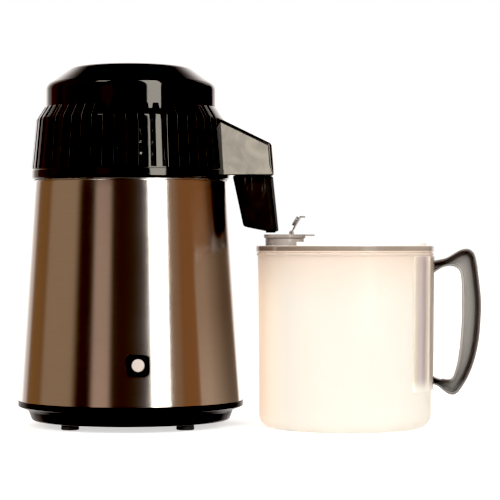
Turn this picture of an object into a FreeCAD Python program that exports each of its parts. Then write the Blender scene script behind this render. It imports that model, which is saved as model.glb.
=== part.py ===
import FreeCAD, Part
import os
import math
from FreeCAD import Vector, Placement, Rotation

# Countertop water distiller with its collection jug.
# Millimetres, +Z up, table at z = 0. The shapes are laid out from the distiller's own axis and every
# piece is then moved by frame_shift, so that the origin is the centre of the set's footprint on the table.

# ---- driving dimensions -------------------------------------------------------------------------
frame_shift = -118.6          # from the distiller's axis to the middle of the set, along X

foot_height = 6.0
foot_radius = 9.0
foot_circle = 80.0

rim_radius = 113.2            # base tray rim
rim_top = 26.0

casing_wall = 0.8
casing_bottom_radius = 112.5
casing_top_radius = 98.0
casing_bottom = 26.05
casing_top = 245.5

tank_radius = 84.0
tank_wall = 0.8
tank_bottom = 62.0
post_circle = 72.0

band_radius = 100.2           # lower band of the head
head_bottom = 246.8
rib_bottom_radius = 99.75
rib_top_radius = 94.8
rib_low = 256.5
rib_high = 307.5
cone_top = 319.8
cone_top_radius = 86.9
rib_count = 52
slot_width = 5.0
slit_width = 1.6
cover_radius = 86.0
cover_skirt = 314.7
cover_shoulder = 342.0
top_radius = 60.0
top_height = 361.0
fan_opening = 40.0

coil_radius = 62.0
tube_radius = 4.75
coil_high = 303.0
coil_low = 268.0
coil_steps = 35

spout_turn = -7.0             # azimuth of the spout
spout_half = 23.0             # half width at the spout's underside
spout_draft = math.tan(math.radians(7.0))
spout_bottom = 250.8
spout_wall = 2.2

button_turn = -83.25          # azimuth of the reset button
button_height = 66.0
button_travel = 2.0

inlet_turn = 90.0
inlet_height = 46.5

jug_x = 215.0
jug_y = -22.5
jug_turn = -5.0               # azimuth of the jug's handle
jug_top_radius = 87.0
jug_bottom_radius = 85.5
jug_wall = 2.2
jug_shoulder = 174.0
jug_top = 179.0
lid_radius = 88.7
lid_top = 181.0
neck_u = -60.4
neck_radius = 19.3
hole_u = -65.4
flap_u = -53.4
flap_z = 194.0
flap_rest = 60.0

Z = Vector(0, 0, 1)
O = Vector(0, 0, 0)
os.makedirs("parts", exist_ok=True)


# ---- helpers ------------------------------------------------------------------------------------
def corner_wire(pts, place):
    """Closed wire through pts = (a, b[, radius]); a corner with a radius becomes a tangent arc."""
    n = len(pts)
    ins, outs, arcs = [], [], []
    for i in range(n):
        a0, b0 = pts[i - 1][:2]
        a1, b1 = pts[i][:2]
        a2, b2 = pts[(i + 1) % n][:2]
        r = pts[i][2] if len(pts[i]) > 2 else 0
        if not r:
            ins.append((a1, b1))
            outs.append((a1, b1))
            arcs.append(None)
            continue
        d1 = ((a0 - a1), (b0 - b1))
        d2 = ((a2 - a1), (b2 - b1))
        l1, l2 = math.hypot(*d1), math.hypot(*d2)
        d1 = (d1[0] / l1, d1[1] / l1)
        d2 = (d2[0] / l2, d2[1] / l2)
        half = math.acos(max(-1, min(1, d1[0] * d2[0] + d1[1] * d2[1]))) / 2
        t = r / math.tan(half)
        bis = (d1[0] + d2[0], d1[1] + d2[1])
        lb = math.hypot(*bis)
        bis = (bis[0] / lb, bis[1] / lb)
        m = r / math.sin(half) - r
        ins.append((a1 + d1[0] * t, b1 + d1[1] * t))
        outs.append((a1 + d2[0] * t, b1 + d2[1] * t))
        arcs.append((a1 + bis[0] * m, b1 + bis[1] * m))
    edges = []
    for i in range(n):
        if arcs[i]:
            edges.append(Part.Arc(place(*ins[i]), place(*arcs[i]), place(*outs[i])).toShape())
        p, q = outs[i], ins[(i + 1) % n]
        if math.hypot(p[0] - q[0], p[1] - q[1]) > 1e-6:
            edges.append(Part.LineSegment(place(*p), place(*q)).toShape())
    return Part.Wire(edges)


def rev(pts):
    f = Part.Face(corner_wire(pts, lambda a, b: Vector(a, 0, b)))
    return f.revolve(O, Z, 360)


def cyl(r, z0, z1, x=0.0, y=0.0):
    return Part.makeCylinder(r, z1 - z0, Vector(x, y, z0))


def box(x0, x1, y0, y1, z0, z1):
    return Part.makeBox(x1 - x0, y1 - y0, z1 - z0, Vector(x0, y0, z0))


def turned(shape, deg, about=O):
    s = shape.copy()
    s.rotate(about, Z, deg)
    return s


def polar(r, deg):
    return r * math.cos(math.radians(deg)), r * math.sin(math.radians(deg))


def rect(x0, x1, y0, y1, r, z):
    return corner_wire([(x0, y0, r), (x1, y0, r), (x1, y1, r), (x0, y1, r)], lambda a, b: Vector(a, b, z))


def prism(wire, height):
    return Part.Face(wire).extrude(Vector(0, 0, height))


def fuse(shapes):
    first = shapes[0]
    return first.multiFuse(shapes[1:]).removeSplitter() if len(shapes) > 1 else first


def group(shapes):
    return Part.makeCompound(shapes)


def screw(head_r, head_h, shank_r, length, slot=True):
    """Pan head screw along +Z: head from -head_h to 0, shank from 0 to length."""
    head = rev([(0, -head_h), (head_r * 0.72, -head_h, 0.3), (head_r, -head_h * 0.45, 0.4), (head_r, 0), (0, 0)])
    shank = rev([(0, -0.2), (shank_r, -0.2), (shank_r, length - shank_r * 0.7), (shank_r * 0.3, length), (0, length)])
    s = head.fuse(shank)
    if slot:
        k = head_r * 0.55
        s = s.cut(box(-k, k, -0.35, 0.35, -head_h - 1, -head_h * 0.5))
        s = s.cut(box(-0.35, 0.35, -k, k, -head_h - 1, -head_h * 0.5))
    return s.removeSplitter()


def flipped(shape):
    s = shape.copy()
    s.rotate(O, Vector(1, 0, 0), 180)
    return s


def at(shape, x, y, z):
    s = shape.copy()
    s.translate(Vector(x, y, z))
    return s


def ring_of(shape, count, start, radius, z):
    out = []
    for i in range(count):
        x, y = polar(radius, start + i * 360.0 / count)
        out.append(at(shape, x, y, z))
    return out


casing_slope = (casing_bottom_radius - casing_top_radius) / (casing_top - rim_top)


def casing_r(z):
    return casing_bottom_radius - (z - rim_top) * casing_slope


def on_casing(deg, z):
    """Placement whose +Z leaves the casing wall at that azimuth and height, +Y pointing up along it."""
    tilt = math.atan(casing_slope)
    r = casing_r(z)
    c, s = math.cos(math.radians(deg)), math.sin(math.radians(deg))
    n = Vector(c * math.cos(tilt), s * math.cos(tilt), math.sin(tilt))
    x = Vector(-s, c, 0)
    y = n.cross(x)
    m = FreeCAD.Matrix(x.x, y.x, n.x, r * c, x.y, y.y, n.y, r * s, x.z, y.z, n.z, z, 0, 0, 0, 1)
    return Placement(m)


def placed(shape, pl):
    return shape.transformGeometry(pl.toMatrix()) if False else shape.copy().transformed(pl.toMatrix())


def spline_edge(pts, place):
    c = Part.BSplineCurve()
    c.interpolate([place(*p) for p in pts])
    return c.toShape()


def tube_wire(pts, rad):
    edges, last = [], pts[0]
    for i in range(1, len(pts) - 1):
        p, a, b = pts[i], pts[i - 1], pts[i + 1]
        d1, d2 = (a - p), (b - p)
        d1.normalize()
        d2.normalize()
        half = math.acos(max(-1, min(1, d1.dot(d2)))) / 2
        t = rad[i] / math.tan(half)
        bis = d1 + d2
        bis.normalize()
        q1, q2 = p + d1 * t, p + d2 * t
        mid = p + bis * (rad[i] / math.sin(half) - rad[i])
        if (q1 - last).Length > 1e-5:
            edges.append(Part.LineSegment(last, q1).toShape())
        edges.append(Part.Arc(q1, mid, q2).toShape())
        last = q2
    edges.append(Part.LineSegment(last, pts[-1]).toShape())
    return Part.Wire(edges)


def tube_along(path, start, direction, r):
    """Solid round bar of radius r along a wire that starts at that point in that direction."""
    return path.makePipeShell([Part.Wire(Part.makeCircle(r, start, direction))], True, False)


nodes = {}


# ---- base ---------------------------------------------------------------------------------------
tray = rev([
    (0, foot_height), (99.3, foot_height, 3.0), (103.2, 16.4, 3.0), (111.0, 19.4, 1.2), (rim_radius, 20.4, 0.8),
    (rim_radius, rim_top, 0.6), (111.35, rim_top), (110.8, 34.0), (108.6, 34.0), (108.6, 23.6, 1.5),
    (101.2, 20.4, 2.5), (96.6, 9.0, 2.0), (0, 9.0),
])
boss = []
for i in range(3):
    x, y = polar(post_circle, 30 + 120 * i)
    boss.append(cyl(8.0, 8.0, 13.0, x, y))
for i in range(4):
    x, y = polar(foot_circle, 45 + 90 * i)
    boss.append(cyl(5.0, 8.0, 17.0, x, y))
tray = fuse([tray] + boss)
cuts = []
for i in range(3):
    x, y = polar(post_circle, 30 + 120 * i)
    cuts += [cyl(5.4, 5.0, 10.0, x, y), cyl(2.7, 5.0, 14.0, x, y)]
for i in range(4):
    x, y = polar(foot_circle, 45 + 90 * i)
    cuts.append(cyl(1.75, 5.0, 15.0, x, y))
vent = Part.Face(corner_wire([(22, -1.6, 1.55), (54, -1.6, 1.55), (54, 1.6, 1.55), (22, 1.6, 1.55)],
                             lambda a, b: Vector(a, b, 5))).extrude(Vector(0, 0, 5))
for i in range(12):
    cuts.append(turned(vent, 15 + 30 * i))
nodes["base_tray"] = tray.cut(group(cuts)).removeSplitter()

foot = rev([(0, 2.6), (4.4, 2.6, 0.3), (4.4, 0.0, 0.3), (foot_radius, 0.0, 1.2), (foot_radius - 0.5, foot_height - 0.02), (0, foot_height - 0.02)])
foot = foot.cut(cyl(1.9, -1, 8))
nodes["rubber_feet"] = group(ring_of(foot, 4, 45, foot_circle, 0))
nodes["foot_screws"] = group(ring_of(screw(3.4, 1.9, 1.7, 11.5), 4, 45, foot_circle, 2.58))

post = cyl(5.0, 13.02, tank_bottom - 0.02).cut(cyl(2.5, 12.0, 28.0)).cut(cyl(2.5, 47.0, 63.0))
nodes["tie_posts"] = group(ring_of(post, 3, 30, post_circle, 0))
nodes["base_screws"] = group(ring_of(screw(4.6, 2.9, 2.4, 14.5), 3, 30, post_circle, 9.98))

# steel casing: tapered skin with a turned-in top edge
casing = rev([
    (casing_r(casing_bottom), casing_bottom), (casing_top_radius - 0.05, casing_top - 0.35, 0.5), (casing_top_radius - 0.5, casing_top),
    (93.0, casing_top), (93.0, casing_top - casing_wall), (casing_top_radius - casing_wall - 0.1, casing_top - casing_wall),
    (casing_r(casing_bottom) - casing_wall, casing_bottom),
])
button_place = on_casing(button_turn, button_height)
inlet_place = on_casing(inlet_turn, inlet_height)
casing = casing.cut(placed(prism(rect(-9.5, 9.5, -8.5, 8.5, 2.0, -6), 12), button_place))
casing = casing.cut(placed(prism(rect(-14.0, 14.0, -10.2, 10.2, 2.0, -8), 16), inlet_place))
for sx in (-20.0, 20.0):
    casing = casing.cut(placed(cyl(1.7, -8, 8, sx, 0), inlet_place))
coupler_turn = 135.0
casing = casing.cut(turned(box(88.0, 97.0, -10.0, 10.0, 240.0, 246.0), coupler_turn))
nodes["outer_casing"] = casing

# boiler tank with a flanged mouth and the studs welded under it
tr, tw = tank_radius, tank_wall
tank = rev([
    (0, tank_bottom), (tr, tank_bottom, 9.0), (tr, casing_top + 0.05, 0.9), (96.5, casing_top + 0.05), (96.5, casing_top + 0.85),
    (tr - tw, casing_top + 0.85, 1.6), (tr - tw, tank_bottom + tw, 8.2), (0, tank_bottom + tw),
])
studs = [cyl(2.4, 49.0, tank_bottom + 0.3, *polar(post_circle, 30 + 120 * i)) for i in range(3)]
studs += [cyl(2.4, 50.5, tank_bottom + 0.3, *polar(52.5, 90 + 120 * i)) for i in range(3)]
tank = fuse([tank] + studs)
tank = tank.cut(turned(box(89.3, 99.0, -9.6, 9.6, 244.0, 248.0), coupler_turn))
nodes["boiler_tank"] = tank

plate = rev([(0, 56.0), (58.0, 56.0, 0.8), (58.0, 61.9, 0.8), (0, 61.9)])
for i in range(3):
    plate = plate.cut(cyl(2.7, 50, 64, *polar(52.5, 90 + 120 * i)))
for sx in (-8.6, 8.6):
    plate = plate.cut(cyl(1.55, 55, 60.5, sx, 0))
nodes["heater_plate"] = plate

# ring heating element under the plate, its two cold ends turned down
element_circle = 40.0
ex, ey = polar(element_circle, 120)
fx, fy = polar(element_circle, 60)
element_pts = [Vector(ex, ey, 44.0), Vector(ex, ey, 52.75)]
element_pts += [Vector(*polar(element_circle / math.cos(math.radians(15)), 120 + 30 * i), 52.75) for i in range(1, 10)]
element_pts += [Vector(fx, fy, 52.75), Vector(fx, fy, 44.0)]
element_path = tube_wire(element_pts, [0, 5.0] + [38.0] * 9 + [5.0, 0])
element = tube_along(element_path, element_pts[0], Z, 3.2)
nodes["heating_element"] = fuse([element, cyl(1.4, 36.0, 44.5, ex, ey), cyl(1.4, 36.0, 44.5, fx, fy)])

washer = cyl(5.2, 0, 0.9).cut(cyl(2.6, -1, 2))
nodes["plate_washers"] = group(ring_of(washer, 3, 90, 52.5, 55.05))
hexa = Part.Face(Part.Wire(Part.makePolygon([Vector(*polar(4.6, 60 * i), 0) for i in range(7)]))).extrude(Vector(0, 0, 3.8))
hexa = hexa.cut(cyl(2.45, -1, 5))
nodes["plate_nuts"] = group(ring_of(hexa, 3, 90, 52.5, 51.2))

# boil-dry thermostat in the middle of the plate
thermo = fuse([cyl(6.6, 45.0, 55.95), prism(rect(-12.0, 12.0, -5.0, 5.0, 2.5, 55.05), 0.9),
               box(-4.6, -3.8, -3.1, 3.1, 37.5, 45.2), box(3.8, 4.6, -3.1, 3.1, 37.5, 45.2)])
for sx in (-8.6, 8.6):
    thermo = thermo.cut(cyl(1.6, 54, 57, sx, 0))
nodes["boil_dry_thermostat"] = thermo
nodes["thermostat_screws"] = group([at(screw(1.9, 1.4, 1.45, 4.6, False), sx, 0, 55.02) for sx in (-8.6, 8.6)])

nodes["terminal_block"] = prism(rect(-22.0, 22.0, 40.0, 58.0, 1.5, 9.05), 15.0).cut(
    group([cyl(2.6, 17.0, 26.0, -15 + 10 * i, 49) for i in range(4)]))

# reset button: bezel through the casing, button with retaining flange, spring, switch body behind
casing_solid = rev([(0, 20.0), (casing_r(20.0) + 0.04, 20.0), (casing_r(246.0) + 0.04, 246.0), (0, 246.0)])
bezel = prism(rect(-11.55, 11.55, -10.55, 10.55, 4.5, -0.9), 2.9)
bezel = bezel.makeFillet(0.8, [e for e in bezel.Edges if abs(e.CenterOfMass.z - 2.0) < 1e-3])
bezel = placed(bezel, button_place).cut(casing_solid)
neck = placed(prism(rect(-9.3, 9.3, -8.3, 8.3, 1.8, -5.4), 6.2), button_place)
bezel = bezel.fuse(neck)
bezel = bezel.cut(placed(fuse([cyl(6.25, -6, 4), cyl(7.35, -6, -1.5)]), button_place)).removeSplitter()
nodes["reset_bezel"] = bezel
button = rev([(0, -13.0), (2.5, -13.0, 0.5), (2.5, -3.0), (7.2, -3.0), (7.2, -1.7), (6.15, -1.7), (6.15, 3.0, 0.9), (0, 3.3)])
nodes["reset_button"] = placed(button, button_place)
switch = prism(rect(-9.0, 9.0, -8.0, 8.0, 1.0, -20.0), 14.5).cut(cyl(2.56, -16.0, 0)).cut(cyl(4.8, -9.0, 0))
switch = fuse([switch, box(-5.4, -4.6, -3.1, 3.1, -25.5, -19.8), box(4.6, 5.4, -3.1, 3.1, -25.5, -19.8)])
nodes["reset_switch"] = placed(switch, button_place)
spring_pts = [Vector(*polar(3.75 / math.cos(math.radians(22.5)), 45 * i), -8.6 + 5.2 * i / 32) for i in range(33)]
spring_path = tube_wire(spring_pts, [0] + [3.6] * 31 + [0])
spring = tube_along(spring_path, spring_pts[0], spring_pts[1] - spring_pts[0], 0.3)
nodes["reset_spring"] = placed(spring, button_place)

# mains inlet at the back: moulded surround, three pins, two screws
inlet = prism(rect(-25.0, 25.0, -11.0, 11.0, 4.0, -4.0), 5.4)
inlet = inlet.makeFillet(0.7, [e for e in inlet.Edges if abs(e.CenterOfMass.z - 1.4) < 1e-3])
inlet = placed(inlet, inlet_place).cut(casing_solid)
barrel = placed(prism(rect(-13.5, 13.5, -9.8, 9.8, 1.8, -26.0), 27.0), inlet_place)
inlet = inlet.fuse(barrel)
mouth = Part.Face(corner_wire([(-12.0, 8.1, 0.6), (-12.0, -4.6, 0.6), (-8.4, -8.1, 0.6), (8.4, -8.1, 0.6), (12.0, -4.6, 0.6), (12.0, 8.1, 0.6)],
                              lambda a, b: Vector(a, b, -19.0))).extrude(Vector(0, 0, 24))
inlet = inlet.cut(placed(mouth, inlet_place))
pin_xy = [(-7.0, -1.6), (7.0, -1.6), (0.0, 2.4)]
for px, py in pin_xy:
    inlet = inlet.cut(placed(box(px - 1.02, px + 1.02, py - 2.02, py + 2.02, -27.0, -18.0), inlet_place))
for sx in (-20.0, 20.0):
    inlet = inlet.cut(placed(fuse([cyl(1.6, -10, 4, sx, 0), Part.makeCone(1.6, 3.3, 1.8, Vector(sx, 0, -0.35)), cyl(3.3, 1.44, 4, sx, 0)]), inlet_place))
nodes["mains_inlet"] = inlet.removeSplitter()
blade = lambda px, py: placed(box(px - 1.0, px + 1.0, py - 2.0, py + 2.0, -32.0, -3.5), inlet_place)
nodes["inlet_pins"] = group([blade(px, py) for px, py in pin_xy])
csk = rev([(0, 0), (1.45, 0), (1.45, 6.7), (3.1, 8.45), (0, 8.45)])
csk = csk.cut(box(-2.0, 2.0, -0.35, 0.35, 7.7, 9)).cut(box(-0.35, 0.35, -2.0, 2.0, 7.7, 9))
nodes["inlet_screws"] = group([placed(at(csk, sx, 0, -7.2), inlet_place) for sx in (-20.0, 20.0)])

# fan supply socket, standing between tank and casing
socket = box(89.6, 96.2, -9.2, 9.2, 222.0, 246.25)
for sy in (-4.5, 4.5):
    socket = socket.cut(box(91.6, 94.2, sy - 2.4, sy + 2.4, 230.0, 250.0))
nodes["fan_supply_socket"] = turned(socket, coupler_turn)

# ---- head ---------------------------------------------------------------------------------------
def rib_r(z):
    return rib_bottom_radius + (rib_top_radius - rib_bottom_radius) * (z - rib_low) / (rib_high - rib_low)


housing = rev([
    (97.6, head_bottom), (98.9, head_bottom, 0.5), (band_radius, head_bottom + 1.9, 1.4), (band_radius, rib_low - 0.6, 0.35),
    (rib_bottom_radius, rib_low, 0.25), (rib_top_radius, rib_high, 2.5), (cone_top_radius, cone_top, 0.2), (86.3, cone_top),
    (86.3, 314.6), (83.6, 314.6), (83.6, 309.0), (90.6, 305.0, 3.0), (96.5, rib_low), (97.2, 252.6), (88.6, 252.6), (88.6, 249.95), (97.6, 249.95),
])
lug = []
for i in range(4):
    deg = 38 + 90 * i
    lug.append(turned(Part.makeCylinder(5.0, 3.0, Vector(78, 0, 309.2)).fuse(box(78, 85.0, -5.0, 5.0, 309.2, 312.2)), deg))
housing = fuse([housing] + lug)
cuts = []
pitch = 360.0 / rib_count
groove_back = rev([(0, 250.0), (97.8, 250.0), (97.7, 257.0), (92.1, 304.5), (86.25, 308.9), (86.25, 325.0), (0, 325.0)])
slot = box(84.0, 106.0, -slot_width / 2, slot_width / 2, rib_low + 1.2, 323.0).cut(groove_back)
slot = slot.fuse(box(88.0, 106.0, -slit_width / 2, slit_width / 2, 264.0, 300.0))
for i in range(rib_count):
    off = (i + 0.5) * pitch
    side = min(off, 360 - off)
    if side < 14.5:
        continue
    cuts.append(turned(slot, spout_turn + off))
for i in range(4):
    x, y = polar(78, 38 + 90 * i)
    cuts.append(cyl(1.7, 300, 315, x, y))
for i in range(4):
    x, y = polar(92.0, 15 + 90 * i)
    cuts.append(cyl(1.5, 249, 254, x, y))
spout_screw_at = [(11.0, 293.0), (-11.0, 293.0), (14.0, 262.0), (-14.0, 262.0)]
for v, z in spout_screw_at:
    cuts.append(turned(Part.makeCylinder(1.7, 30, Vector(80, v, z), Vector(1, 0, 0)), spout_turn))
cuts.append(turned(Part.makeCylinder(6.0, 30, Vector(80, 0, 266.6), Vector(1, 0, 0)), spout_turn))
nodes["head_housing"] = housing.cut(group(cuts))

# smooth cover with the fan opening, its skirt going down behind the rib tops
cover = rev([
    (cover_radius, cover_skirt), (cover_radius, cover_shoulder, 9.0), (top_radius, top_height - 0.4, 16.0), (50.0, top_height, 0.6), (47.4, top_height, 0.4),
    (47.4, 358.1), (fan_opening, 358.1), (fan_opening, 356.9), (60.6, 356.9, 13.0), (83.5, 340.6, 6.0), (83.5, cover_skirt),
])
cover_boss = [cyl(4.2, 312.3, 348.5, *polar(78, 38 + 90 * i)) for i in range(4)]
trim = rev([(fan_opening, 300.0), (83.7, 300.0), (83.7, 340.9), (60.9, 357.2), (fan_opening, 357.2)])
cover = fuse([cover] + [b.common(trim) for b in cover_boss])
for i in range(4):
    cover = cover.cut(cyl(1.5, 310, 325, *polar(78, 38 + 90 * i)))
    cover = cover.cut(cyl(1.6, 355, 362, *polar(43.8, 45 + 90 * i)))
nodes["top_cover"] = cover
nodes["cover_screws"] = group(ring_of(screw(2.9, 2.2, 1.45, 14.5), 4, 38, 78, 309.15))

guard = [cyl(46.9, 358.15, 360.95).cut(cyl(40.4, 350, 370)), cyl(9.0, 358.15, 360.95)]
for r in (15.5, 22.0, 28.5, 35.0):
    guard.append(cyl(r + 1.0, 358.15, 360.95).cut(cyl(r - 1.0, 350, 370)))
for i in range(4):
    guard.append(turned(box(-41.5, 41.5, -1.4, 1.4, 358.15, 360.95), 22.5 + 45 * i))
guard = fuse(guard)
for i in range(4):
    x, y = polar(43.8, 45 + 90 * i)
    guard = guard.cut(cyl(1.6, 350, 370, x, y)).cut(cyl(2.8, 359.55, 362, x, y))
nodes["fan_guard"] = guard
nodes["guard_screws"] = group(ring_of(flipped(screw(2.6, 1.3, 1.35, 10.5)), 4, 45, 43.8, 359.57))

frame = fuse([
    rev([(38.6, 330.5), (40.4, 330.5), (40.4, 353.6), (48.0, 353.6), (48.0, 356.85), (38.6, 356.85)]),
    cyl(17.0, 330.5, 333.5),
] + [turned(box(15.0, 39.5, -3.0, 3.0, 330.5, 333.5), 20 + 90 * i) for i in range(4)])
for i in range(4):
    frame = frame.cut(cyl(1.4, 347, 358, *polar(43.8, 45 + 90 * i)))
nodes["fan_frame"] = frame.removeSplitter()
motor = rev([(1.53, 333.55), (15.4, 333.55, 0.6), (15.4, 348.6, 0.8), (1.53, 348.6)])
nodes["fan_motor"] = motor
hub = rev([(1.5, 350.6), (17.3, 350.6), (17.3, 336.0), (19.2, 336.0), (19.2, 353.2, 1.6), (1.5, 353.2)])
blades = []
blank = rev([(18.2, 337.4), (37.6, 337.4), (37.6, 351.0), (18.2, 351.0)])
for i in range(7):
    b = box(17.0, 40.0, -12.5, 12.5, -0.75, 0.75)
    b.rotate(O, Vector(1, 0, 0), 36)
    b.translate(Vector(0, 0, 344.5))
    blades.append(turned(b, i * 360.0 / 7).common(blank))
nodes["fan_rotor"] = fuse([hub] + blades)
nodes["fan_shaft"] = rev([(0, 334.2), (1.2, 334.2), (1.5, 334.6), (1.5, 353.2), (0, 353.2)])

# steam lid, closing the tank, with its gasket and screws
lid = rev([
    (3.2, 266.0), (4.0, 266.0), (4.0, 258.4), (40.0, 249.85, 6.0), (96.0, 249.85), (96.0, 248.95), (39.8, 248.95, 5.0), (3.2, 257.8),
])
for i in range(4):
    lid = lid.cut(cyl(1.6, 248, 251, *polar(92.0, 15 + 90 * i)))
lid = lid.cut(turned(box(89.0, 99.0, -10.0, 10.0, 247.0, 251.0), coupler_turn))
nodes["steam_lid"] = lid
nodes["head_gasket"] = rev([(84.4, 246.5), (88.7, 246.5), (88.7, 248.9), (84.4, 248.9)])
nodes["lid_screws"] = group(ring_of(screw(2.8, 1.6, 1.4, 3.3), 4, 15, 92.0, 248.92))
plug = fuse([box(90.0, 95.8, -8.6, 8.6, 246.9, 249.9)] + [box(92.1, 93.7, sy - 1.9, sy + 1.9, 236.0, 247.5) for sy in (-4.5, 4.5)])
nodes["fan_supply_plug"] = turned(plug, coupler_turn)

# condenser coil: inlet over the lid's stub, thirty-five short arcs down, outlet along the spout
pts = [Vector(0, 0, 258.6), Vector(0, 0, coil_high)]
rad = [0, 12.0]
start = spout_turn + 30
x, y = polar(coil_radius, start)
pts.append(Vector(x, y, coil_high))
rad.append(12.0)
apex = coil_radius / math.cos(math.radians(15))
for i in range(1, coil_steps):
    x, y = polar(apex, start + 30 * i)
    pts.append(Vector(x, y, coil_high - (coil_high - coil_low) * i / coil_steps))
    rad.append(60.0)
x, y = polar(coil_radius, spout_turn)
pts.append(Vector(x, y, coil_low))
rad.append(12.0)
for u, z in ((125.0, 266.0), (125.0, 254.5)):
    x, y = polar(u, spout_turn)
    pts.append(Vector(x, y, z))
    rad.append(8.0)
rad[-1] = 0


path = tube_wire(pts, rad)


coil = tube_along(path, pts[0], Z, tube_radius).cut(tube_along(path, pts[0], Z, tube_radius - 0.65))
nodes["condenser_coil"] = coil
print("coil length", round(path.Length, 1), "volume", round(coil.Volume, 1),
      "expected", round(path.Length * math.pi * (tube_radius ** 2 - (tube_radius - 0.65) ** 2), 1), "solids", len(coil.Solids))
clear = tube_along(path, pts[0], Z, tube_radius + 0.12)
fins = []
for i in range(24):
    f = turned(box(53.5, 71.5, -0.25, 0.25, 258.0, 308.0), spout_turn + 7.5 + 15 * i)
    fins.append(f.cut(clear))
nodes["cooling_fins"] = group([s for f in fins for s in f.Solids])
bracket = fuse([box(45.0, 56.9, -5.0, 5.0, 249.9, 250.9), box(55.9, 56.9, -5.0, 5.0, 249.9, 305.0)])
bracket = bracket.cut(cyl(1.7, 249, 252, 50, 0))
nodes["coil_brackets"] = group([turned(bracket, spout_turn + 75 + 120 * i) for i in range(3)])

# spout housing: hollow wedge with flat sides, closed against the head
def side_half(z, inset=0.0):
    return spout_half - inset - (z - spout_bottom) * spout_draft


def drafted(shape, inset=0.0):
    """The shape between the spout's two leaning side planes, or planes that much further in."""
    for sy in (1, -1):
        side = [Vector(60, sy * side_half(z, inset), z) for z in (230.0, 330.0)] + [Vector(60, sy * 60, 330.0), Vector(60, sy * 60, 230.0)]
        shape = shape.cut(Part.Face(Part.Wire(Part.makePolygon(side + side[:1]))).extrude(Vector(100, 0, 0)))
    return shape


wedge = Part.Face(corner_wire([(80, 314.2), (144.5, 282.5, 3.5), (147.5, spout_bottom, 1.2), (80, spout_bottom)],
                              lambda a, b: Vector(a, -30, b))).extrude(Vector(0, 60, 0))
wedge = drafted(wedge)
rim = []
for e in wedge.Edges:
    c = e.CenterOfMass
    if abs(abs(c.y) - side_half(c.z)) < 1e-2 and c.x > 81:
        rim.append(e)
top_rim = [e for e in rim if e.CenterOfMass.z > spout_bottom + 3]
wedge = wedge.makeFillet(2.6, top_rim)
head_solid = rev([(0, 240), (band_radius + 0.05, 240), (band_radius + 0.05, rib_low), (rib_bottom_radius + 0.05, rib_low), (rib_top_radius + 0.05, rib_high + 0.4),
                  (cone_top_radius + 0.05, cone_top), (cone_top_radius, 330), (0, 330)])
wedge = wedge.cut(head_solid)
inner = Part.Face(corner_wire([(80, 311.5), (142.5, 280.8, 1.5), (145.2, spout_bottom + 2.0, 1.0), (80, spout_bottom + 2.0)],
                              lambda a, b: Vector(a, -30, b))).extrude(Vector(0, 60, 0))
inner = drafted(inner, spout_wall)
inner_head = rev([(0, 240), (band_radius + 2.3, 240), (band_radius + 2.3, rib_low), (rib_bottom_radius + 2.4, rib_low), (rib_top_radius + 2.4, rib_high),
                  (90.5, 322), (90.5, 330), (0, 330)])
inner = inner.cut(inner_head)
beak = wedge.cut(inner)
posts = []
for v, z in spout_screw_at:
    b = Part.makeCylinder(4.0, 26, Vector(80, v, z), Vector(1, 0, 0)).cut(head_solid)
    posts.append(b)
beak = fuse([beak] + posts)
for v, z in spout_screw_at:
    beak = beak.cut(Part.makeCylinder(1.5, 23, Vector(80, v, z), Vector(1, 0, 0)))
beak = beak.cut(Part.makeCylinder(6.0, 30, Vector(80, 0, 266.6), Vector(1, 0, 0)))
beak = beak.cut(prism(rect(108.4, 140.4, -14.6, 14.6, 5.0, 248.0), 6.0))
nodes["spout_housing"] = turned(beak, spout_turn)
spout_screws = []
for v, z in spout_screw_at:
    inner_r = 96.5 + (90.6 - 96.5) * (z + 2.9 - rib_low) / (305.0 - rib_low)
    u = math.sqrt(inner_r ** 2 - (abs(v) + 2.9) ** 2) - 0.1
    s = screw(2.9, 2.2, 1.45, 101.5 - u)
    s.rotate(O, Vector(0, 1, 0), 90)
    spout_screws.append(turned(at(s, u, v, z), spout_turn))
nodes["spout_screws"] = group(spout_screws)

# nozzle cup: leaning tapered cup with a drip tip, plugged into the spout's underside
def cup_loft(du, top, low):
    """Leaning tapered cup: du is how far inside the outer faces, low how far above the outer bottom."""
    k = (250.5 - top) / 58.5
    ul, ur, v = 105.0 + 12.4 * k + du, 143.1 + 6.3 * k - du, 16.5 - 2.8 * k - du
    a = rect(ul, ur, -v, v, 6.0 - du * 0.8, top)
    b = rect(117.4 + du, 149.4 - du, -13.7 + du, 13.7 - du, 5.0 - du * 0.8, 192.0)
    bottom = [(100.0, 203.9 + low), (139.5, 194.8 + low), (143.0, 194.5 + low), (160.0, 196.5 + low), (160.0, 180.0), (100.0, 180.0)]
    below = Part.Face(corner_wire(bottom, lambda p, q: Vector(p, -30, q))).extrude(Vector(0, 60, 0))
    return Part.makeLoft([a, b], True, True).cut(below)


cup = cup_loft(0, 250.5, 0.0)
tip = rev([(0, 200.0), (5.2, 200.0), (4.7, 193.9, 0.6), (0, 193.9)])
tip.translate(Vector(142.0, 0, 0))
collar = prism(rect(108.75, 140.05, -14.25, 14.25, 4.8, 249.5), 7.3)
cup = fuse([cup, tip, collar])
cup = cup.cut(cup_loft(2.0, 248.6, 2.2)).cut(prism(rect(110.6, 138.2, -12.4, 12.4, 3.4, 248.0), 10.0)).cut(cyl(2.2, 190, 205, 142.0, 0))
nodes["nozzle_cup"] = turned(cup, spout_turn)
pad_a = rect(113.0, 137.0, -12.0, 12.0, 4.0, 245.0)
pad_b = rect(121.5, 143.5, -10.5, 10.5, 3.5, 205.5)
nodes["charcoal_filter"] = turned(Part.makeLoft([pad_a, pad_b], True, True), spout_turn)

# ---- jug ----------------------------------------------------------------------------------------
def jug_r(z):
    return jug_bottom_radius + (jug_top_radius - jug_bottom_radius) * z / jug_shoulder


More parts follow.
